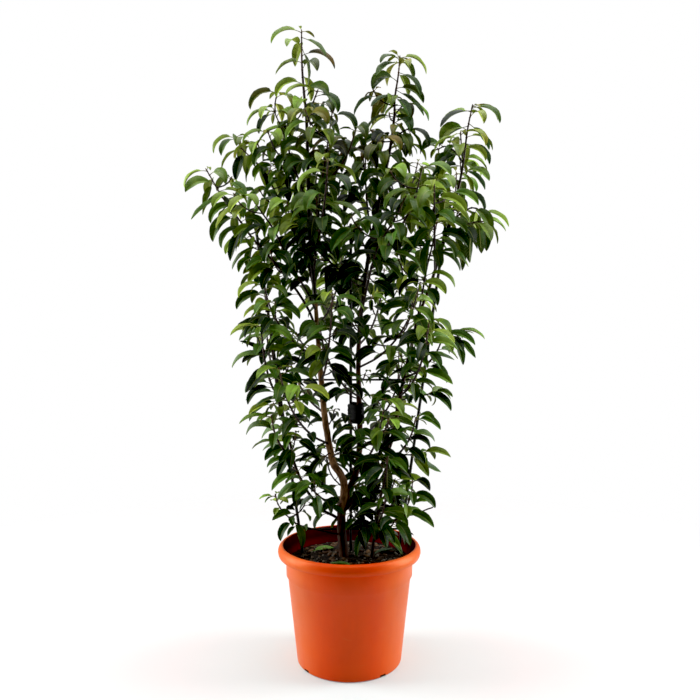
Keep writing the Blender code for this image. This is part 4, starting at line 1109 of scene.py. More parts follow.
def add_leaf(shape, leaf, tint, phase, kinds=(LEAF_FACE, LEAF_BACK, STALK)):
    """A fine leaf: one closed skin of rings along its stalk and its blade, down to the tip."""
    above, below, stalk = kinds
    distances = [leaf.petiole * share for share in STALK_RINGS]
    distances += [leaf.petiole + leaf.blade * share for share in BLADE_RINGS]
    corners = []
    places = []
    for distance in distances:
        ring, ring_places = leaf_ring(leaf, distance, phase)
        corners += ring
        places += ring_places
    count = len(ring)
    faces = []
    face_kinds = []
    for index in range(len(distances) - 1):
        for side in range(count):
            low = index * count + side
            next_low = index * count + (side + 1) % count
            faces.append((low, low + count, next_low + count, next_low))
            kind = above if side < len(ACROSS) - 1 else below
            face_kinds.append(stalk if index < len(STALK_RINGS) else kind)
    last = len(corners) - count
    corners.append(leaf.line[-1])
    places.append((0.0, 1.0, 0.0))
    for side in range(count):
        faces.append((last + side, last + count, last + (side + 1) % count))
        face_kinds.append(above if side < len(ACROSS) - 1 else below)
    faces.append(tuple(range(count)))
    face_kinds.append(stalk)
    shape.add(corners, faces, face_kinds, places, tint)


def up_to(height, heights):
    """How far a height is from the first of two heights to the second, smoothly from 0 to 1."""
    return ease((height - heights[0]) / (heights[1] - heights[0]))


def bush_band(height):
    """The bush's left, right and depth at a height, or None above and below it."""
    for (low, *_), (high, *band) in zip(BUSH_OUTLINE, BUSH_OUTLINE[1:]):
        if low <= height < high:
            return band
    return None


def exposure(point):
    """How far out in the bush a point is, from 0 at its middle to 1 at its sides."""
    band = bush_band(point.z)
    if not band:
        return 1.0
    left, right, depth = band
    out = (point.x - (left + right) / 2) / ((right - left) / 2)
    return between(math.hypot(out, FRONT_EXPOSED * point.y / depth), 0.0, 1.0)


def tint_of(label, youth, point):
    """A leaf's tone, blush and shade: lighter if young, painted lighter if outer or high and painted
    darker inside the bush, and some young bronze.
    """
    draw = random.Random(f"tint {label}")
    tone = draw.gauss(TONE_MIDDLE, TONE_SPREAD) + TONE_YOUTH * youth
    # Painted light and shade: lighter towards the bush's outside and top, darker in its middle
    tone += PAINTED_OUTER_LIGHT * (exposure(point) - 0.5) + PAINTED_TOP_LIGHT * up_to(point.z, PAINTED_TOP_LIGHT_HEIGHTS)
    blush = youth * up_to(point.z, BLUSH_HEIGHTS) * draw.uniform(-BLUSH_SELDOM, 1.0)
    return between(tone, 0.0, 1.0), between(blush, 0.0, 1.0), draw.random()


def keep_leaf(leaves, number, distance, leaf, tone, clearings):
    """Keep a placed leaf, and keep later leaves out of its way."""
    leaves[number] = (distance, leaf, tone)
    clearings.add(*leaf_solid(leaf, 0.0))


def frame_leaf(name, index, stem, distance, tips):
    """The frame's own leaf at a place on a stem, known by its tip, or None."""
    for turn_shift, fall_shift in LEAF_TRIES:
        leaf = draw_leaf(name, index, stem, distance, turn_shift, fall_shift)
        if tips.find(leaf.line[-1])[2] < TIP_MATCH:
            return leaf
    return None


def clear_leaf(name, index, stem, distance, clearings):
    """A leaf of the same kind that finds a clear place, or None."""
    for turn_shift, fall_shift in LEAF_TRIES:
        leaf = draw_leaf(name, index, stem, distance, turn_shift, fall_shift)
        blade = leaf_solid(leaf, BLADE_START * leaf.petiole, LEAF_CLEARANCE)
        whole = leaf_solid(leaf, 0.0, LEAF_CLEARANCE)
        if clearings.is_clear(*whole, besides=name) and clearings.is_clear(*blade):
            return leaf
    return None


def leaf_seats(stem):
    """The number and distance of each leaf's place on a stem, from its tip, closer together there."""
    distances = []
    distance = stem.route.length - TIP_BUD
    while distance > stem.bare:
        distances.append(distance)
        crowding = TIP_CROWDING * CROWDING_FADE ** (len(distances) - 1)
        distance -= LEAF_STEP * math.sqrt(stem.leaf_size) * (1.0 - crowding)
    return list(enumerate(distances))


def tip_tuft(name, stem, clearings):
    """The small young leaves that stand up round a stem's tip."""
    draw = random.Random(f"tuft {name}")
    along = stem.route.direction(stem.route.length)
    across = along.orthogonal().normalized()
    other = along.cross(across)
    turn = draw.uniform(0.0, math.tau)
    tuft = []
    for _ in range(TUFT_LEAVES):
        turn += LEAF_TURN
        out = across * math.cos(turn) + other * math.sin(turn)
        opening = math.radians(draw.uniform(*TUFT_OPENING))
        first = along * math.cos(opening) + out * math.sin(opening)
        rise = math.asin(between(first.z, -1.0, 1.0))
        fall = rise - math.radians(draw.uniform(*TUFT_BEND))
        leaf = Leaf(stem.route.at(stem.route.length), TIP_RADIUS, math.atan2(first.y, first.x), rise,
                    fall, draw.uniform(*TUFT_SIZE), 0.0, 0.0)
        leaf.width = leaf.blade * TUFT_SLENDERNESS
        if clearings.is_clear(*leaf_solid(leaf, BLADE_START * leaf.petiole)):
            clearings.add(*leaf_solid(leaf, leaf.petiole))
            tuft.append(leaf)
    return tuft


def node_of(name, parents):
    """The frame's node that a stem belongs to."""
    if name in WOODY_STEMS:
        return "trunk"
    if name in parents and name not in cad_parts:
        return node_of(parents[name], parents)
    return name


def lookup(points):
    """A tree that finds the nearest of some points."""
    tree = KDTree(len(points))
    for index, point in enumerate(points):
        tree.insert(point, index)
    tree.balance()
    return tree


def add_seen_twigs(stems, parents, leaves, clearings):
    """The thin twigs that the photo shows."""
    for name, (parent, bare, points) in SEEN_TWIGS.items():
        stems[name] = Stem(seen_route(points), FILL_RADIUS, TIP_RADIUS, SHOOT_SIDES, bare)
        parents[name] = parent
        leaves[name] = {}
        clearings.add(*stems[name].tube(), name)


def in_photo(point):
    """The pixel at which the photo shows a point."""
    scale = CAMERA_FOCAL_PIXELS / (point[1] - CAMERA_PLACE[1])
    return PHOTO_MIDDLE[0] + point[0] * scale, PHOTO_MIDDLE[1] - (point[2] - CAMERA_PLACE[2]) * scale


def photo_seats(stems):
    """Every place where a leaf of the photo may spring: stem, distance, point and pixel."""
    seats = []
    for name, stem in stems.items():
        if stem.bare is None:
            continue
        for step in range(round(stem.route.length / SEAT_STEP)):
            distance = round(SEAT_START + SEAT_STEP * step, 3)
            if distance < stem.route.length - SEAT_END:
                start = stem.centre(distance)
                seats.append((name, distance, start, in_photo(start)))
    return seats


def likely_seats(root, size, seats, leaves):
    """The seats a stalk's length from a root in the photo, few of each stem, those in front first."""
    stalk = stalk_length(size) * PIXELS_PER_METRE
    near = []
    for name, distance, start, pixel in seats:
        off = math.dist(pixel, root)
        if off < stalk + ROOT_REACH and all(abs(place[0] - distance) > SEAT_SPACING
                                            for place in leaves.get(name, ())):
            near.append((abs(off - stalk) + SEAT_DEPTH_COST * start.y, name, distance, start))
    near.sort(key=lambda seat: seat[0])
    likely = []
    for _, name, distance, start in near:
        if sum(other == name for other, _, _ in likely) < SEATS_OF_STEM:
            likely.append((name, distance, start))
    return likely[:SEATS_TRIED]


def seen_leaf(start, root, heading, rise, fall, size):
    """A leaf from its bearing in degrees, which turns its face to the photo's camera."""
    turned = math.radians(heading)
    return Leaf(start, root, turned, math.radians(rise), math.radians(fall), size, 0.0,
                math.radians(SEEN_ROLL * math.cos(turned)))


def bearing_fan():
    """Each rise and fall, with how far out and up they put the tip of a leaf that is 1 m long."""
    fan = []
    for rise in SEEN_RISES:
        for fall in SEEN_FALLS:
            if fall <= rise + SEEN_UPTURN:
                leaf = seen_leaf(Vector(), 0.0, 0.0, rise, fall, 1.0)
                tip = leaf.line[-1] / (leaf.petiole + leaf.blade)
                fan.append((rise, fall, tip.x, tip.z))
    return fan


def misfit(leaf, root, tip, width):
    """How far a leaf is from one in the photo: its tip, its root, its width, and how far back it is."""
    base, _, _ = leaf.at(leaf.petiole)
    middle, side, _ = leaf.at(leaf.petiole + WIDTH_PLACE * leaf.blade)
    left_x, left_y = in_photo(middle + side * leaf.width / 2)
    right_x, right_y = in_photo(middle - side * leaf.width / 2)
    run, drop = tip[0] - root[0], tip[1] - root[1]
    across = abs((left_x - right_x) * drop - (left_y - right_y) * run) / math.hypot(run, drop)
    return (math.dist(in_photo(leaf.line[-1]), tip) + ROOT_COST * math.dist(in_photo(base), root)
            + WIDTH_COST * abs(across - width) + ROOT_DEPTH_COST * leaf.start.y
            + TIP_DEPTH_COST * max(0.0, leaf.line[-1].y))


def find_bearing(row, seats, fan, leaves):
    """The stem, distance and bearing with which a leaf looks most like one in the photo, or None."""
    root, tip, width, size = row[0:2], row[2:4], row[4], row[5]
    length = stalk_length(size) + LEAF_BLADE * size
    best = math.inf
    found = None
    for name, distance, start in likely_seats(root, size, seats, leaves):
        for heading in SEEN_HEADINGS:
            east = length * math.cos(math.radians(heading))
            north = length * math.sin(math.radians(heading))
            for rise, fall, out, up in fan:
                off = math.dist(tip, in_photo((start.x + east * out, start.y + north * out,
                                               start.z + length * up)))
                if off < min(TIP_REACH, best - ROOT_DEPTH_COST * start.y + SEARCH_SLACK):
                    cost = misfit(seen_leaf(start, 0.0, heading, rise, fall, size), root, tip, width)
                    if cost < best:
                        best = cost
                        found = (name, distance, heading, rise, fall)
    return found


def photo_leaves(stems):
    """The leaves that stand out in the photo, by their stem: distance, bearing, size and tone."""
    seats = photo_seats(stems)
    fan = bearing_fan()
    leaves = {}
    for rows in PHOTO_LEAVES.values():
        for row in rows:
            found = find_bearing(row, seats, fan, leaves)
            if found:
                name, *place = found
                leaves.setdefault(name, []).append((*place, *row[5:]))
    return leaves


def add_seen_leaves(stems, leaves, clearings):
    """The leaves that stand out in the photo, each turned aside if something is in its way."""
    for name, places in photo_leaves(stems).items():
        stem = stems[name]
        for number, (distance, heading, rise, fall, size, tone) in enumerate(sorted(places)):
            root = ROOT_SHARE * stem.radius(distance)
            for turn in SEEN_TURNS:
                leaf = seen_leaf(stem.centre(distance), root, heading + turn, rise, fall, size)
                if clearings.is_clear(*leaf_solid(leaf, BLADE_START * leaf.petiole)):
                    keep_leaf(leaves[name], f"seen {number}", distance, leaf, tone, clearings)
                    break


def add_twigs(stems, parents, clearings):
    """Short twigs between the shoots, inside the bush's outline."""
    for name in list(stems):
        parent = stems[name]
        if parent.route.length < FILL_PARENT_LENGTH:
            continue
        bare = WOODY_BARE if parent.bare is None else parent.bare
        distance = bare
        number = 0
        while distance < parent.route.length:
            number += 1
            label = f"{name}_twig_{number}"
            draw = random.Random(label)
            spacing = fill_spacing(parent.route.at(distance).z)
            distance += spacing * draw.uniform(*FILL_SPREAD)
            heading = number * LEAF_TURN + draw.uniform(-FILL_TURN, FILL_TURN)
            length = draw.uniform(*(WOODY_TWIG_LENGTH if parent.bare is None else FILL_LENGTH))
            length *= 1.0 - FILL_SHORTER_AT_TIP * distance / parent.route.length
            if distance > parent.route.length - FILL_SHORTEST:
                break
            route = rising_route(parent.centre(distance), heading, length, FILL_RISE)
            if not inside_bush(route.at(route.length)):
                continue
            twig = Stem(route, FILL_RADIUS, TIP_RADIUS, SHOOT_SIDES, FILL_BARE)
            if clearings.is_clear(*twig.tube(), besides=name):
                stems[label] = twig
                parents[label] = name
                clearings.add(*twig.tube(), label)


def fill_spacing(height):
    """How far apart twigs spring from a shoot at a height."""
    for high, spacing in FILL_SPACINGS:
        if height < high:
            break
    return spacing


def inside_bush(point):
    """Whether a twig's tip lies inside the bush's outline."""
    if any(point.z > low and left < point.x < right for low, left, right in BUSH_NOTCHES):
        return False
    band = bush_band(point.z)
    return bool(band) and band[0] < point.x < band[1] and abs(point.y) < band[2]


class Nodes:
    """A tree of nodes, with a short call for each kind that is used."""

    def __init__(self, tree):
        self.tree = tree

    def feed(self, socket, value):
        """Give a socket a number, a colour or another node's output."""
        if isinstance(value, bpy.types.NodeSocket):
            self.tree.links.new(value, socket)
        elif value is not None:
            socket.default_value = value

    def node(self, kind, *values, **settings):
        """A node with its inputs in order."""
        node = self.tree.nodes.new("ShaderNode" + kind)
        for setting, value in settings.items():
            setattr(node, setting, value)
        for socket, value in zip(node.inputs, values):
            self.feed(socket, value)
        return node

    def named(self, kind, output, **values):
        """One output of a node with its inputs by name."""
        node = self.node(kind)
        for name, value in values.items():
            self.feed(node.inputs[name], value)
        return node.outputs[output]

    def math(self, operation, *values):
        """The result of one sum."""
        return self.node("Math", *values, operation=operation).outputs[0]

    def times(self, one, two):
        """The product of two numbers."""
        return self.math("MULTIPLY", one, two)

    def plus(self, one, two):
        """The sum of two numbers."""
        return self.math("ADD", one, two)

    def spread(self, value, low, high, first=0.0, last=1.0):
        """A number carried over from one range to another, smoothly and clamped."""
        return self.node("MapRange", value, low, high, first, last,
                         interpolation_type="SMOOTHSTEP").outputs[0]

    def parts(self, label):
        """The three numbers that each corner of a piece carries under a label."""
        vector = self.node("Attribute", attribute_name=label).outputs["Vector"]
        return self.node("SeparateXYZ", vector).outputs

    def position(self):
        """The place of a point in the part."""
        return self.node("TexCoord").outputs["Object"]

    def stretched(self, vector, *scale):
        """A vector stretched along each axis."""
        return self.node("VectorMath", vector, scale, operation="MULTIPLY").outputs[0]

    def length(self, vector):
        """The length of a vector."""
        return self.node("VectorMath", vector, operation="LENGTH").outputs["Value"]

    def noise(self, vector, scale, detail=3.0, roughness=0.55):
        """A cloudy number from 0 to 1."""
        return self.named("TexNoise", "Fac", Vector=vector, Scale=scale, Detail=detail,
                          Roughness=roughness)

    def cells(self, vector, scale):
        """How far a point is from the middle of its cell in a cellular pattern."""
        return self.named("TexVoronoi", "Distance", Vector=vector, Scale=scale)

    def ramp(self, value, *stops):
        """A colour for a number, from stops of place and colour as seen on screen."""
        node = self.node("ValToRGB", value)
        elements = node.color_ramp.elements
        while len(elements) < len(stops):
            elements.new(0.5)
        for element, (place, colour) in zip(elements, stops):
            element.position = place
            element.color = linear(colour)
        return node.outputs["Color"]

    def mix(self, share, one, two, blend_type="MIX"):
        """Two colours mixed, each from a node or as seen on screen."""
        node = self.node("Mix", data_type="RGBA", blend_type=blend_type)
        for number, value in ((0, share), (6, one), (7, two)):
            self.feed(node.inputs[number], linear(value) if isinstance(value, tuple) else value)
        return node.outputs[2]


class Paint(Nodes):
    """A material, with short calls for what its shader reads."""

    def __init__(self, name, roughness, specular=0.5):
        self.material = bpy.data.materials.new(name)
        self.material.use_nodes = True
        super().__init__(self.material.node_tree)
        self.shader = self.tree.nodes["Principled BSDF"]
        self.use(roughness, "Roughness")
        self.use(specular, "Specular IOR Level")

    def use(self, value, name):
        """Use a number, a colour or a node's output for one of the shader's inputs."""
        self.feed(self.shader.inputs[name], value)

    def colour(self, value):
        """Use a node's colour as the base colour."""
        self.use(value, "Base Color")

    def rough(self, value, low, high):
        """Let a cloudy number vary the roughness between two limits."""
        self.use(self.spread(value, *MOTTLE, low, high), "Roughness")

    def bump(self, height, depth, strength=1.0):
        """Use a node's number as fine relief of a depth in metres."""
        self.use(self.named("Bump", "Normal", Height=height, Distance=depth, Strength=strength),
                 "Normal")


def linear(colour):
    """A colour as the shader wants it, from red, green and blue as seen on screen."""
    channels = [value / 12.92 if value <= 0.04045 else ((value + 0.055) / 1.055) ** 2.4
                for value in colour]
    return (*channels, 1.0)


def leaf_veins(paint, across, along):
    """Slanting side veins from the midrib to the margin, as a number that peaks on each vein."""
    slant = paint.times(paint.math("ABSOLUTE", across), VEIN_SLANT)
    place = paint.math("SUBTRACT", paint.times(along, VEIN_COUNT), slant)
    off = paint.math("ABSOLUTE", paint.math("SUBTRACT", paint.math("FRACT", place), 0.5))
    return paint.spread(off, VEIN_WIDTH, 0.5)


def veined(paint, blade, vein_share, vein_colour, rib_reach, rib_share, rib_colour):
    """Colour a leaf: its blade, with paler side veins and a paler midrib. Returns the veins."""
    across, along, _ = paint.parts("place")
    veins = leaf_veins(paint, across, along)
    with_veins = paint.mix(paint.times(veins, vein_share), blade, vein_colour)
    rib = paint.spread(paint.math("ABSOLUTE", across), *rib_reach, rib_share, 0.0)
    paint.colour(paint.mix(rib, with_veins, rib_colour))
    return veins


def leaf_face_material():
    """The glossy upper side of a leaf."""
    paint = Paint("leaf_face", 0.40, 0.25)
    tone, blush, shade = paint.parts("tint")
    mottle = paint.noise(paint.position(), 45.0)
    value = paint.plus(tone, paint.spread(mottle, *MOTTLE, -0.08, 0.08))
    green = paint.ramp(value, *LEAF_GREENS)
    rusty = paint.times(blush, paint.spread(mottle, 0.30, 0.62))
    cast = paint.ramp(shade, *LEAF_CASTS)
    blade = paint.mix(rusty, paint.mix(1.0, green, cast, "MULTIPLY"), LEAF_BRONZE)
    veins = veined(paint, blade, *FACE_VEINS)
    paint.rough(mottle, 0.34, 0.48)
    paint.bump(paint.times(veins, -1.0), 0.0003, 0.2)
    return paint.material


def leaf_back_material():
    """The paler, duller underside of a leaf, with its veins raised."""
    paint = Paint("leaf_back", 0.55, 0.3)
    tone, blush, _ = paint.parts("tint")
    mottle = paint.noise(paint.position(), 90.0)
    value = paint.plus(tone, paint.spread(mottle, *MOTTLE, -0.08, 0.08))
    green = paint.ramp(value, *BACK_GREENS)
    blade = paint.mix(paint.times(blush, 0.6), green, BACK_BRONZE)
    veins = veined(paint, blade, *BACK_VEINS)
    paint.rough(mottle, 0.50, 0.62)
    paint.bump(veins, 0.0003, 0.3)
    return paint.material


def stalk_material():
    """A leaf's stalk: pale green, and reddish where it meets the stem."""
    paint = Paint("stalk", 0.42)
    _, along, _ = paint.parts("place")
    tone, _, _ = paint.parts("tint")
    where = paint.position()
    pale = paint.ramp(tone, *STALK_GREENS)
    foot = paint.spread(paint.plus(along, paint.noise(where, 300.0)), 0.30, 0.46, 1.0, 0.0)
    paint.colour(paint.mix(paint.times(foot, 0.75), pale, STALK_RED))
    paint.bump(paint.noise(where, 900.0), 0.0002, 0.4)
    return paint.material


def twig_material():
    """A young stem: brown below, dark red towards the tip, with small pale pores."""
    paint = Paint("twig", 0.5)
    _, along, _ = paint.parts("place")
    where = paint.position()
    streak = paint.noise(paint.stretched(where, 1.0, 1.0, 0.25), 260.0)
    bark = paint.ramp(along, *TWIG_BROWNS)
    streaked = paint.mix(paint.spread(streak, 0.35, 0.7), bark, TWIG_STREAK)
    pores = paint.spread(paint.cells(where, 420.0), 0.0, 0.22, 0.4, 0.0)
    paint.colour(paint.mix(pores, streaked, TWIG_PORES))
    paint.rough(streak, 0.42, 0.66)
    paint.bump(paint.plus(streak, pores), 0.0003, 0.6)
    return paint.material


def bark_material():
    """The woody stems: brown bark in long streaks, with pores and darker creases."""
    paint = Paint("bark", 0.7, 0.35)
    tone, _, _ = paint.parts("tint")
    where = paint.position()
    streak = paint.noise(paint.stretched(where, 1.0, 1.0, 0.16), 330.0, 5.0, 0.62)
    patch = paint.noise(where, 38.0)
    # Tone: each stem's tone, which paints the left stem's highlight and the trunk's shade
    value = paint.plus(tone, paint.spread(patch, *MOTTLE, -0.22, 0.22))
    brown = paint.ramp(value, *BARK_BROWNS)
    streaked = paint.mix(paint.spread(streak, 0.42, 0.68, 0.0, 0.72), brown, BARK_STREAK)
    pores = paint.spread(paint.cells(paint.stretched(where, 1.0, 1.0, 2.2), 150.0), 0.0, 0.16,
                         0.6, 0.0)
    paint.colour(paint.mix(pores, streaked, BARK_PORES))
    paint.rough(streak, 0.60, 0.85)
    paint.bump(paint.plus(streak, paint.times(pores, -0.6)), 0.0009, 0.8)
    return paint.material


def pot_material():
    """Orange moulded plastic with fine grain, flow streaks and scuffs, and painted light: a painted
    sheen on its left and right sides, painted shade under the bead, inside and in the drain slots.
    """
    paint = Paint("pot_plastic", 0.42)
    paint.use(POT_SHEEN, "Specular Tint")
    where = paint.position()
    cloud = paint.noise(where, 14.0)
    streak = paint.noise(paint.stretched(where, 1.0, 1.0, 0.12), 60.0)
    fresh = paint.ramp(cloud, *POT_FRESH)
    x, _, height = paint.node("SeparateXYZ", where).outputs
    # Painted sheen: a lighter, paler colour towards the left and right sides
    painted_sheen = paint.spread(paint.math("ABSOLUTE", x), *PAINTED_SHEEN_SIDES)
    base = paint.mix(painted_sheen, fresh, POT_PAINTED_SHEEN)
    flowed = paint.mix(paint.spread(streak, 0.45, 0.75, 0.0, 0.3), base, POT_FLOW)
    scrape = paint.noise(paint.stretched(where, 1.0, 1.0, 3.0), 34.0, 6.0)
    scuffed = paint.mix(paint.spread(scrape, 0.62, 0.74, 0.0, 0.30), flowed, POT_SCUFF)
    radius = paint.length(paint.stretched(where, 1.0, 1.0, 0.0))
    # Painted shade: the crease under the bead darker, on the outside only
    dull = paint.times(pot_crease_shade(paint, height), paint.spread(radius, *INSIDE_SHADE_RADII, 0.0, 0.34))
    creased = paint.mix(dull, scuffed, POT_CREASE_SHADE)
    inside = pot_inside(paint, height, radius)
    # Painted shade: the inner wall above the compost dark red, where the bush shades it
    inside_shade = paint.times(inside, paint.spread(cloud, 0.2, 0.6, 0.94, 1.0))
    red = paint.ramp(paint.spread(height, *INSIDE_SHADE_RAMP_HEIGHTS), *POT_INSIDE_SHADE)
    # Painted shade: the drain slots' sills and ends dark
    slot = paint.times(paint.spread(height, DRAIN_TOP, DRAIN_TOP + SHADE_EDGE, 1.0, 0.0),
                       paint.spread(radius, *SLOT_SHADE_RADII, 1.0, 0.0))
    paint.colour(paint.mix(slot, paint.mix(inside_shade, creased, red), POT_SLOT_SHADE))
    grain = paint.spread(cloud, *MOTTLE, 0.36, 0.46)
    paint.use(paint.plus(grain, paint.times(inside, 0.4)), "Roughness")
    paint.use(paint.spread(inside, 0.0, 1.0, 0.95, 0.05), "Specular IOR Level")
    paint.bump(paint.noise(where, 1500.0, 2.0), 0.00012, 0.35)
    return paint.material


def pot_crease_shade(paint, height):
    """How much painted shade darkens the crease under the rim's bead at a height."""
    return paint.times(paint.spread(height, *CREASE_UNDER), paint.spread(height, *CREASE_OVER))


def pot_inside(paint, height, radius):
    """1 on the pot's inner wall above the compost's edge, 0 outside it."""
    edge = paint.spread(height, *INSIDE_SHADE_HEIGHTS, *INSIDE_SHADE_RADII)
    inwards = paint.spread(paint.math("SUBTRACT", edge, radius), 0.0, SHADE_EDGE)
    return paint.times(paint.spread(height, COLLAR_BOTTOM, SOIL_EDGE), inwards)


def soil_material():
    """Dark potting compost: crumbs of nearly black peat with paler fibres."""
    paint = Paint("compost", 0.92, 0.25)
    where = paint.position()
    crumb = paint.noise(where, 420.0, 5.0, 0.65)
    clod = paint.noise(where, 60.0)
    base = paint.ramp(crumb, *COMPOST_BROWNS)
    paint.colour(paint.mix(paint.spread(clod, 0.4, 0.7, 0.0, 0.6), base, COMPOST_CLOD))
    paint.bump(crumb, 0.002, 0.9)
    return paint.material


def litter_material():
    """Bits of bark and grit, each with a brown or grey of its own."""
    paint = Paint("litter", 0.85, 0.3)
    tone, blush, _ = paint.parts("tint")
    where = paint.position()
    grain = paint.noise(paint.stretched(where, 1.0, 1.0, 2.5), 380.0, 4.0)
    brown = paint.ramp(tone, *LITTER_BROWNS)
    stone = paint.mix(blush, brown, LITTER_STONE)
    paint.colour(paint.mix(paint.spread(grain, 0.4, 0.7, 0.0, 0.6), stone, LITTER_DARK))
    paint.bump(grain, 0.0008, 0.8)
    return paint.material


def trellis_material():
    """The black coated rods, with a slight grain and dusty, worn patches."""
    paint = Paint("coated_rod", 0.42)
    where = paint.position()
    dust = paint.noise(where, 90.0)
    grain = paint.noise(where, 1300.0, 2.0)
    base = paint.ramp(dust, *ROD_BLACKS)
    paint.colour(base)
    paint.rough(dust, 0.34, 0.58)
    paint.bump(grain, 0.0002, 0.4)
    return paint.material


def tie_material():
    """Black plastic tape, creased along its length."""
    paint = Paint("tie_plastic", 0.6, 0.15)
    where = paint.position()
    crease = paint.noise(paint.stretched(where, 0.4, 0.4, 2.5), 300.0)
    paint.colour(paint.ramp(crease, *TAPE_BLACKS))
    paint.rough(crease, 0.40, 0.62)
    paint.bump(crease, 0.0005, 0.7)
    return paint.material


def fallen_material():
    """A fallen leaf: fresh or dull green with brown blotches."""
    paint = Paint("fallen_leaf", 0.5)
    tone, _, _ = paint.parts("tint")
    blotch = paint.noise(paint.position(), 75.0, 4.0)
    base = paint.ramp(tone, *FALLEN_GREENS)
    blade = paint.mix(paint.spread(blotch, 0.58, 0.70), base, FALLEN_BLOTCH)
    veins = veined(paint, blade, *FALLEN_VEINS)
    paint.rough(blotch, 0.42, 0.64)
    paint.bump(paint.plus(veins, blotch), 0.0005, 0.6)
    return paint.material


def plain_shape(corners, faces):
    """A shape of one part whose material reads only its position."""
    shape = Shape()
    shape.add_plain(corners, faces)
    return shape


def keep_modified(piece):
    """Give an object the mesh that its modifiers make, and drop them."""
    bpy.context.view_layer.update()
    graph = bpy.context.evaluated_depsgraph_get()
    result = bpy.data.meshes.new_from_object(piece.evaluated_get(graph))
    piece.modifiers.clear()
    piece.data = result


def fused(name, shape, voxel):
    """An object whose overlapping parts are grown together, then smoothed."""
    piece = new_object(name, shape.corners, shape.faces)
    remesh = piece.modifiers.new("fuse", "REMESH")
    remesh.mode = "VOXEL"
    remesh.voxel_size = voxel
    smooth = piece.modifiers.new("smooth", "SMOOTH")
    smooth.factor = FUSE_SMOOTHNESS
    smooth.iterations = FUSE_SMOOTHING
    keep_modified(piece)
    return piece


def build_trunk(stems, bark):
    """The trunk grown together with its main stems, with ridged bark."""
    shape = Shape()
    marks = []
    for name in WOODY_STEMS:
        stem = stems[name]
        steps = round(stem.route.length / TRUNK_RING_STEP)
        rings = [(stem.route.length * step / steps, stem.radius(stem.route.length * step / steps))
                 for step in range(steps + 1)]
        corners = turned_rings(stem.route, rings, TRUNK_SIDES)
        shape.add_plain(corners, tube_faces(len(rings), TRUNK_SIDES))
        marks += [(stem.route.at(distance), BARK_LIT_AND_SHADED_TONES[name]) for distance, _ in rings]
    trunk = fused("trunk_bark", shape, TRUNK_VOXEL)
    tree = lookup([place for place, _ in marks])
    tones = []
    moved = []
    for vertex in trunk.data.vertices:
        near = tree.find_n(vertex.co, 2)
        tones.append(sum(marks[index][1] for _, index, _ in near) / 2)
        stretched = vertex.co * Vector((1.0, 1.0, BARK_STRETCH))
        ridge = noise.noise(stretched * BARK_SCALE)
        lump = noise.noise(vertex.co * LUMP_SCALE)
        moved.append(vertex.co + vertex.normal * (BARK_RELIEF * ridge + LUMP_RELIEF * lump))
    for vertex, place in zip(trunk.data.vertices, moved):
        vertex.co = place
    label_corners(trunk.data, "tint", [(tone, 0.0, 0.0) for tone in tones])
    settle(trunk, [bark], "bark", "trunk")


def inner_foot():
    """The radius of the pot's inside at its floor."""
    slope = (WALL_TOP_RADIUS - POT_FOOT_RADIUS) / WALL_TOP
    return POT_FOOT_RADIUS + slope * POT_FLOOR - POT_WALL


def quarter_arc(radius, steps):
    """How far along and out a quarter of a circle has come, from its start to its end."""
    turns = [math.pi / 2 * step / steps for step in range(steps + 1)]
    return [(radius * (1.0 - math.cos(turn)), radius * math.sin(turn)) for turn in turns]


def pot_outline():
    """The pot's outline from the middle of its foot, up the outside and down the inside."""
    bead = POT_HEIGHT - BEAD_HEIGHT
    roll = Route([(POT_RIM_RADIUS - inset, 0.0, bead + rise) for inset, rise in BEAD_OUTLINE])
    rolled = [roll.at(roll.length * step / BEAD_STEPS) for step in range(BEAD_STEPS + 1)]
    foot = [(POT_FOOT_RADIUS - FOOT_ROUNDING + out, up)
            for up, out in quarter_arc(FOOT_ROUNDING, FOOT_STEPS)]
    return [
        (0.0, 0.0),
        *foot,
        (WALL_TOP_RADIUS, WALL_TOP),
        (COLLAR_RADIUS - COLLAR_DRAFT, COLLAR_BOTTOM),
        (COLLAR_RADIUS, bead),
        *((point.x, point.z) for point in rolled),
        (COLLAR_RADIUS - POT_WALL, bead - COLLAR_DRAFT),
        (COLLAR_RADIUS - COLLAR_DRAFT - POT_WALL, COLLAR_BOTTOM),
        (WALL_TOP_RADIUS - POT_WALL, WALL_TOP),
        (inner_foot(), POT_FLOOR),
        (0.0, POT_FLOOR),
    ]


def drain_cutter(turn):
    """Corners and faces of a block that opens one drain slot over a thin sill at the pot's foot."""
    middle = POT_FOOT_RADIUS - DRAIN_INSET
    heading = Vector((math.sin(turn), -math.cos(turn), 0.0))
    across = Vector((-heading.y, heading.x, 0.0))
    corners = [
        heading * (middle + out * DRAIN_DEPTH / 2) + across * side * DRAIN_WIDTH / 2
        + Vector((0, 0, height))
        for height in (DRAIN_SILL, DRAIN_TOP) for out, side in ((-1, -1), (1, -1), (1, 1), (-1, 1))
    ]
    return corners, tube_faces(2, 4)


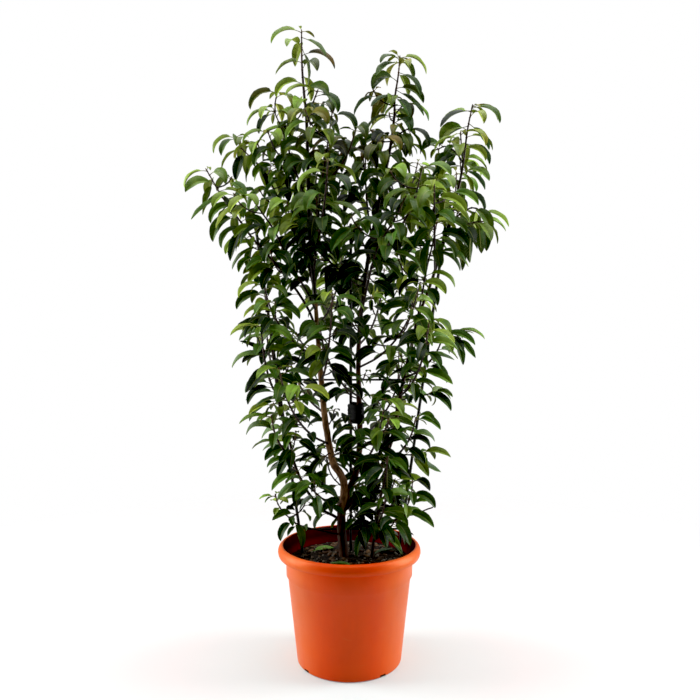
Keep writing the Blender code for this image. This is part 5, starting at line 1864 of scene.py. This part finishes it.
def build_pot(plastic):
    """The pot, turned from its outline, with its drain slots cut."""
    shape = bmesh.new()
    corners = [shape.verts.new((radius, 0.0, height)) for radius, height in pot_outline()]
    edges = [shape.edges.new(pair) for pair in zip(corners, corners[1:])]
    bmesh.ops.spin(shape, geom=corners + edges, cent=(0, 0, 0), axis=(0, 0, 1),
                   angle=math.tau, steps=POT_STEPS, use_merge=True)
    bmesh.ops.remove_doubles(shape, verts=shape.verts, dist=POT_MERGE)
    bmesh.ops.recalc_face_normals(shape, faces=shape.faces)
    pot = new_object("pot_shell")
    shape.to_mesh(pot.data)
    shape.free()
    cutters = Shape()
    for index in range(DRAIN_SLOTS):
        cutters.add_plain(*drain_cutter(DRAIN_TURN + math.tau * index / DRAIN_SLOTS))
    cutter = new_object("drain_cutters", cutters.corners, cutters.faces)
    cut = pot.modifiers.new("drain", "BOOLEAN")
    cut.object = cutter
    cut.solver = "EXACT"
    keep_modified(pot)
    bpy.data.objects.remove(cutter)
    settle(pot, [plastic], "pot", "pot")


def soil_height(x, y):
    """The height of the compost's rough surface."""
    radius = math.hypot(x, y)
    collar = COLLAR_RADIUS - POT_WALL
    level = SOIL_MOUND + (SOIL_EDGE - SOIL_MOUND) * (radius / collar) ** 2
    place = Vector((x, y, 0.0))
    clods = CLOD_RELIEF * noise.noise(place * CLOD_SCALE)
    crumbs = CRUMB_RELIEF * noise.noise(place * CRUMB_SCALE)
    return level + clods + crumbs


def build_soil(compost):
    """The compost: a rough top over a plug that fills the pot."""
    collar = COLLAR_RADIUS - COLLAR_DRAFT - POT_WALL - GAP
    rings = [(collar * ring / SOIL_RINGS, None) for ring in range(1, SOIL_RINGS + 1)]
    rings += [(collar, COLLAR_BOTTOM + COLLAR_DRAFT), (WALL_TOP_RADIUS - POT_WALL - GAP, WALL_TOP),
              (inner_foot() - GAP, POT_FLOOR + GAP)]
    corners = []
    for radius, height in rings:
        for step in range(SOIL_STEPS):
            turn = math.tau * step / SOIL_STEPS
            x = radius * math.cos(turn)
            y = radius * math.sin(turn)
            corners.append(Vector((x, y, soil_height(x, y) if height is None else height)))
    top = len(corners)
    corners.append(Vector((0.0, 0.0, soil_height(0.0, 0.0))))
    faces = [tuple(reversed(face)) for face in ring_faces(len(rings), SOIL_STEPS)]
    faces.append(tuple(reversed(range(top - SOIL_STEPS, top))))
    faces += [(top, step, (step + 1) % SOIL_STEPS) for step in range(SOIL_STEPS)]
    make_piece("soil_compost", plain_shape(corners, faces), [compost], "soil", "soil")


def litter_bit(draw, place, size):
    """Corners and faces of one bit of bark or grit."""
    ball = bmesh.new()
    bmesh.ops.create_icosphere(ball, subdivisions=2, radius=1.0)
    ball.verts.ensure_lookup_table()
    turn = draw.uniform(0.0, math.tau)
    tilt = draw.uniform(-LITTER_TILT, LITTER_TILT)
    along = bearing(turn, tilt)
    across = Vector((-math.sin(turn), math.cos(turn), 0.0))
    upper = along.cross(across)
    shift = Vector((draw.uniform(0, LITTER_SHIFT), draw.uniform(0, LITTER_SHIFT), 0.0))
    corners = []
    for vertex in ball.verts:
        rough = 1.0 + LITTER_ROUGHNESS * noise.noise(vertex.co * LITTER_GRAIN + shift)
        x, y, z = vertex.co * rough
        corners.append(place + along * size[0] * x + across * size[1] * y + upper * size[2] * z)
    faces = [tuple(vertex.index for vertex in face.verts) for face in ball.faces]
    ball.free()
    return corners, faces


def build_litter(stems, litter):
    """Bits of bark and grit scattered over the compost, clear of the stems and rods."""
    draw = random.Random("litter")
    posts = [(stems[name].route.at(POST_DEPTH), stems[name].base_radius)
             for name in ("trunk", "second_stem")]
    posts += [(rod_point(name, SOIL_EDGE), ROD_RADIUS) for name in RODS]
    shape = Shape()
    reach = COLLAR_RADIUS - POT_WALL - LITTER_MARGIN
    for _ in range(LITTER_COUNT):
        radius = reach * math.sqrt(draw.random())
        turn = draw.uniform(0.0, math.tau)
        x = radius * math.cos(turn)
        y = radius * math.sin(turn)
        grit = draw.random() < GRIT_SHARE
        length, flatness, width = (draw.uniform(*sizes) for sizes in (GRIT if grit else CHIP))
        if any(math.hypot(x - post.x, y - post.y) < post_radius + length
               for post, post_radius in posts):
            continue
        height = soil_height(x, y) + length * flatness * LITTER_LIFT
        corners, faces = litter_bit(draw, Vector((x, y, height)),
                                    (length, length * width, length * flatness))
        tint = (draw.random(), draw.uniform(*GRIT_STONE) if grit else 0.0, 0.0)
        shape.add_plain(corners, faces, tint)
    make_piece("soil_litter", shape, [litter], "soil")


def rod_point(name, height):
    """The middle of a trellis rod at a height."""
    foot, lean = RODS[name]
    return Vector((foot + lean * (height - ROD_SOIL_HEIGHT), TRELLIS_Y, height))


def build_trellis(coated):
    """The rods and rungs, each round with rounded ends."""
    bars = {name: (rod_point(name, ROD_BOTTOM), rod_point(name, ROD_TOP), ROD_RADIUS)
            for name in RODS}
    behind = Vector((0.0, ROD_RADIUS + RUNG_RADIUS + GAP, 0.0))
    overhang = Vector((RUNG_OVERHANG, 0.0, 0.0))
    for name, height in RUNGS.items():
        bars[name] = (rod_point("rod_left", height) + behind - overhang,
                      rod_point("rod_right", height) + behind + overhang, RUNG_RADIUS)
    for name, (start, end, radius) in bars.items():
        route = Route([start, end])
        rounding = quarter_arc(radius, ROD_END_STEPS)[1:]
        rings = [(0.0, radius * ROD_END_FLAT), *rounding]
        rings += [(route.length - ahead, ring) for ahead, ring in reversed(rounding)]
        rings.append((route.length, radius * ROD_END_FLAT))
        corners = turned_rings(route, rings, ROD_STEPS)
        shape = plain_shape(corners, tube_faces(len(rings), ROD_STEPS))
        make_piece(f"coated_{name}", shape, [coated], "trellis", name)


def tape(points, width, upward):
    """Corners and faces of a flat band along some points, standing `upward` on its edge."""
    corners = []
    count = len(points)
    for index, point in enumerate(points):
        along = (points[min(index + 1, count - 1)] - points[max(index - 1, 0)]).normalized()
        out = along.cross(upward).normalized()
        edge = out.cross(along)
        for side, layer in TAPE_OUTLINE:
            corners.append(point + edge * side * width / 2 + out * layer * TAPE_THICKNESS / 2)
    return corners, tube_faces(count, len(TAPE_OUTLINE))


def build_tie(name, stems, plastic):
    """A band wound several times round a rod and a stem, with two loose ends."""
    rod, stem_name, height, width, turns = TIES[name]
    stem = stems[stem_name]
    band = width / turns * TAPE_OVERLAP
    points = []
    steps = 2 * TAPE_STEPS * turns
    for step in range(steps + 1):
        half_turn, part_turn = divmod(step, TAPE_STEPS)
        level = height + (step / steps - 0.5) * (width - band)
        distance = stem.route.distance_at_height(level)
        reach = stem.route.at(distance) - rod_point(rod, level)
        facing = math.atan2(reach.y, reach.x)
        if half_turn % 2 == 0:
            middle, radius, first = rod_point(rod, level), ROD_RADIUS, facing + math.pi / 2
        else:
            middle, radius = stem.route.at(distance), full_radius(stem, distance)
            first = facing - math.pi / 2
        turn = first + math.pi * (part_turn + 0.5) / TAPE_STEPS
        rumple = Vector((step * TAPE_RUMPLE[0], height * TAPE_RUMPLE[1], 0.0))
        out = radius + TIE_CLEARANCE + TAPE_THICKNESS
        out += TAPE_THICKNESS * (1.0 + TAPE_BULGE * noise.noise(rumple))
        level += band * TAPE_SLIP * noise.noise(rumple.yzx)
        points.append(Vector((middle.x + out * math.cos(turn), middle.y + out * math.sin(turn),
                              level)))
    shape = Shape()
    shape.add_plain(*tape(points, band, TAPE_UPWARD))
    for end, sway in ((points[0], -1.0), (points[-1], 1.0)):
        shape.add_plain(*tape(tie_tail(end, sway), min(band, TAIL_WIDTH), TAIL_UPWARD))
    make_piece(f"wound_{name}", shape, [plastic], "tie", name)


def tie_tail(end, sway):
    """Points of a loose end of tape, which reaches aside and forward and then hangs."""
    tail = []
    for step in range(TAIL_STEPS + 1):
        share = step / TAIL_STEPS
        reach = TAIL_REACH * share * Vector((sway * (1.0 - TAIL_CURL * share), -TAIL_FORWARD, 0.0))
        tail.append(end + reach + Vector((0.0, 0.0, TAIL_RISE * share - TAIL_FALL * share ** 2)))
    return tail


def build_fallen_leaf(name, material):
    """A leaf that lies on the compost where the frame's own one does."""
    x, y, heading, tone = FALLEN_LEAVES[name]
    flat = fallen_leaf(x, y, 0.0, heading)
    corners, _ = leaf_solid(flat, 0.0)
    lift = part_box(name)[0].z - min(corner.z for corner in corners)
    shape = Shape()
    add_leaf(shape, fallen_leaf(x, y, lift, heading), (tone, 0.0, 0.0), FALLEN_PHASE, (0, 0, 0))
    make_piece(f"dry_{name}", shape, [material], "fallen", name)


def fallen_leaf(x, y, z, heading):
    """A fallen leaf at a place."""
    return Leaf(Vector((x, y, z)), PETIOLE_WIDTH / 2, math.radians(heading), FALLEN_CURL,
                -FALLEN_CURL, FALLEN_BLADE / LEAF_BLADE, FALLEN_SWEEP, FALLEN_ROLL)


def keep_frame(stems, clearings):
    """Let new leaves miss the frame's pot, soil, trellis, ties and fallen leaves, and every stem."""
    for name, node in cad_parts.items():
        if name not in LEAFY_NODES:
            corners = [vertex.co.copy() for vertex in node.data.vertices]
            clearings.add(corners, [tuple(face.vertices) for face in node.data.polygons])
    for name, stem in stems.items():
        clearings.add(*stem.tube(), name)


def keep_views(stems, clearings):
    """Let new leaves keep out of the sight lines to the bark that shows between the leaves."""
    camera = Vector(CAMERA_PLACE)
    aside = Vector((VIEW_HALF_WIDTH, 0.0, 0.0))
    before = Vector((0.0, -VIEW_START, 0.0))
    for name, low, high in OPEN_VIEWS:
        route = stems[name].route
        corners = []
        for step in range(VIEW_STEPS + 1):
            point = route.at(route.distance_at_height(low + (high - low) * step / VIEW_STEPS))
            near = point.lerp(camera, VIEW_SHARE)
            corners += [point + before - aside, point + before + aside, near + aside, near - aside]
        clearings.add(corners, tube_faces(VIEW_STEPS + 1, 4))


def place_all_leaves(stems, parents, clearings):
    """Every stem's leaves by number, each with its distance from the start and perhaps a tone.

    The frame's own leaves come first, then those that stand out in the photo, then those between
    and on short new twigs. A new twig that finds room for too few leaves is left out.
    """
    leaves = {name: {} for name, stem in stems.items() if stem.bare is not None}
    for name in leaves:
        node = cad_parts[node_of(name, parents)]
        tips = lookup([vertex.co for vertex in node.data.vertices])
        for index, distance in leaf_seats(stems[name]):
            leaf = None
            if index % LEAF_SKIP == 0:
                leaf = frame_leaf(name, index, stems[name], distance, tips)
            if leaf:
                keep_leaf(leaves[name], index, distance, leaf, None, clearings)
    add_seen_twigs(stems, parents, leaves, clearings)
    add_seen_leaves(stems, leaves, clearings)
    keep_views(stems, clearings)
    kept = set(stems)
    add_twigs(stems, parents, clearings)
    for name, stem in stems.items():
        if stem.bare is None:
            continue
        own = leaves.setdefault(name, {})
        for index, distance in leaf_seats(stem):
            leaf = None if index in own else clear_leaf(name, index, stem, distance, clearings)
            if leaf:
                keep_leaf(own, index, distance, leaf, None, clearings)
    for name in [name for name in leaves if name not in kept]:
        if len(leaves[name]) < FEWEST_LEAVES:
            del stems[name], leaves[name]
    tufts = {name: tip_tuft(name, stems[name], clearings)
             for name in leaves if leaf_seats(stems[name])}
    return leaves, tufts


def build_foliage(stems, parents, leaves, tufts, materials):
    """A fine piece for each leafy node: its stem and twigs with all their leaves."""
    for node in LEAFY_NODES:
        shape = Shape()
        for name, stem in stems.items():
            if node_of(name, parents) != node or name in WOODY_STEMS:
                continue
            knots = [distance for distance, _, _ in leaves[name].values()]
            add_stem(shape, stem, knots, tint_of(name, 0.0, stem.route.at(0.0)))
            for index, (distance, leaf, tone) in leaves[name].items():
                youth = math.exp(-(stem.route.length - distance) / YOUTH_LENGTH)
                phase = random.Random(f"wave {name} {index}").random()
                tint = tint_of(f"{name} {index}", youth, leaf.line[-1])
                # A leaf of the photo keeps its given tone, which paints its light and shade as well as
                # its green
                add_leaf(shape, leaf, tint if tone is None else (tone, 0.0, tint[2]), phase)
            for number, leaf in enumerate(tufts.get(name, ())):
                tint = tint_of(f"tuft {name} {number}", 1.0, leaf.line[0])
                add_leaf(shape, leaf, tint, TUFT_PHASE)
        replaced = [] if node == "trunk" else [node]
        make_piece(f"foliage_{node}", shape, materials, "foliage", *replaced)


def floor_material():
    """The pale pink studio floor, painted less red near the pot against the red light that the pot
    throws on it, which fades out into the bright background with distance.
    """
    paint = Paint("studio_floor", 0.9, 0.1)
    distance = paint.length(paint.position())
    # Painted: less red near the pot, against the pot's red bounce light
    paint.colour(paint.mix(paint.spread(distance, *BOUNCE_TINT_REACH), *FLOOR_COLOURS_AGAINST_BOUNCE))
    paint.use(paint.spread(distance, *FLOOR_FADE, FLOOR_SHARE, 0.0), "Alpha")
    return paint.material


def build_stage():
    """The floor that the pot stands on."""
    bpy.ops.mesh.primitive_plane_add(size=FLOOR_SIZE, location=(0.0, 0.0, -GAP))
    floor = bpy.context.object
    floor.name = "studio_floor"
    floor.data.materials.append(floor_material())


def build_world():
    """A white background that lights the plant from beside and behind, and little from the front."""
    world = bpy.data.worlds.new("studio")
    bpy.context.scene.world = world
    world.use_nodes = True
    nodes = Nodes(world.node_tree)
    forward = nodes.node("SeparateXYZ", nodes.node("TexCoord").outputs["Generated"]).outputs["Y"]
    strength = nodes.node("MapRange", forward, *WORLD_FRONT, WORLD_STRENGTH * WORLD_FRONT_SHARE,
                          WORLD_STRENGTH).outputs[0]
    lit = nodes.node("Background", WHITE, strength).outputs[0]
    shown = nodes.node("Background", WHITE, 1.0).outputs[0]
    straight = nodes.node("LightPath").outputs["Is Camera Ray"]
    mixed = nodes.node("MixShader", straight, lit, shown).outputs[0]
    nodes.tree.nodes.remove(nodes.tree.nodes["Background"])
    nodes.feed(nodes.tree.nodes["World Output"].inputs["Surface"], mixed)


def build_lights():
    """Large soft lights, each aimed at the middle of the plant."""
    for name, (place, size, power) in SOFT_LIGHTS.items():
        light = bpy.data.lights.new(name, "AREA")
        light.shape = "RECTANGLE"
        light.size = size[0]
        light.size_y = size[1]
        light.energy = power
        lamp = bpy.data.objects.new(name, light)
        lamp.location = place
        lamp.rotation_euler = (LIGHT_AIM - Vector(place)).to_track_quat("-Z", "Y").to_euler()
        lamp.visible_camera = False
        bpy.context.scene.collection.objects.link(lamp)


def build_camera():
    """The photo's camera: level, straight in front of the pot."""
    data = bpy.data.cameras.new("camera")
    data.sensor_width = SENSOR_WIDTH
    data.lens = CAMERA_FOCAL_PIXELS / IMAGE_PIXELS * SENSOR_WIDTH
    camera = bpy.data.objects.new("camera", data)
    camera.location = CAMERA_PLACE
    camera.rotation_euler = (math.pi / 2, 0.0, 0.0)
    bpy.context.scene.collection.objects.link(camera)
    bpy.context.scene.camera = camera


def set_view():
    """Show colours like a plain photograph whose deepest shadows are black."""
    view = bpy.context.scene.view_settings
    view.view_transform = "Standard"
    view.use_curve_mapping = True
    view.curve_mapping.black_level = (BLACK_LEVEL, BLACK_LEVEL, BLACK_LEVEL)


def main():
    """Build every piece, then the studio."""
    stems, parents = make_stems()
    clearings = Clearings()
    keep_frame(stems, clearings)
    leaves, tufts = place_all_leaves(stems, parents, clearings)
    foliage = [leaf_face_material(), leaf_back_material(), stalk_material(), twig_material()]
    build_foliage(stems, parents, leaves, tufts, foliage)
    build_trunk(stems, bark_material())
    build_pot(pot_material())
    build_soil(soil_material())
    build_litter(stems, litter_material())
    build_trellis(trellis_material())
    tie = tie_material()
    for name in TIES:
        build_tie(name, stems, tie)
    fallen = fallen_material()
    for name in FALLEN_LEAVES:
        build_fallen_leaf(name, fallen)
    build_stage()
    build_world()
    build_lights()
    build_camera()
    set_view()


main()
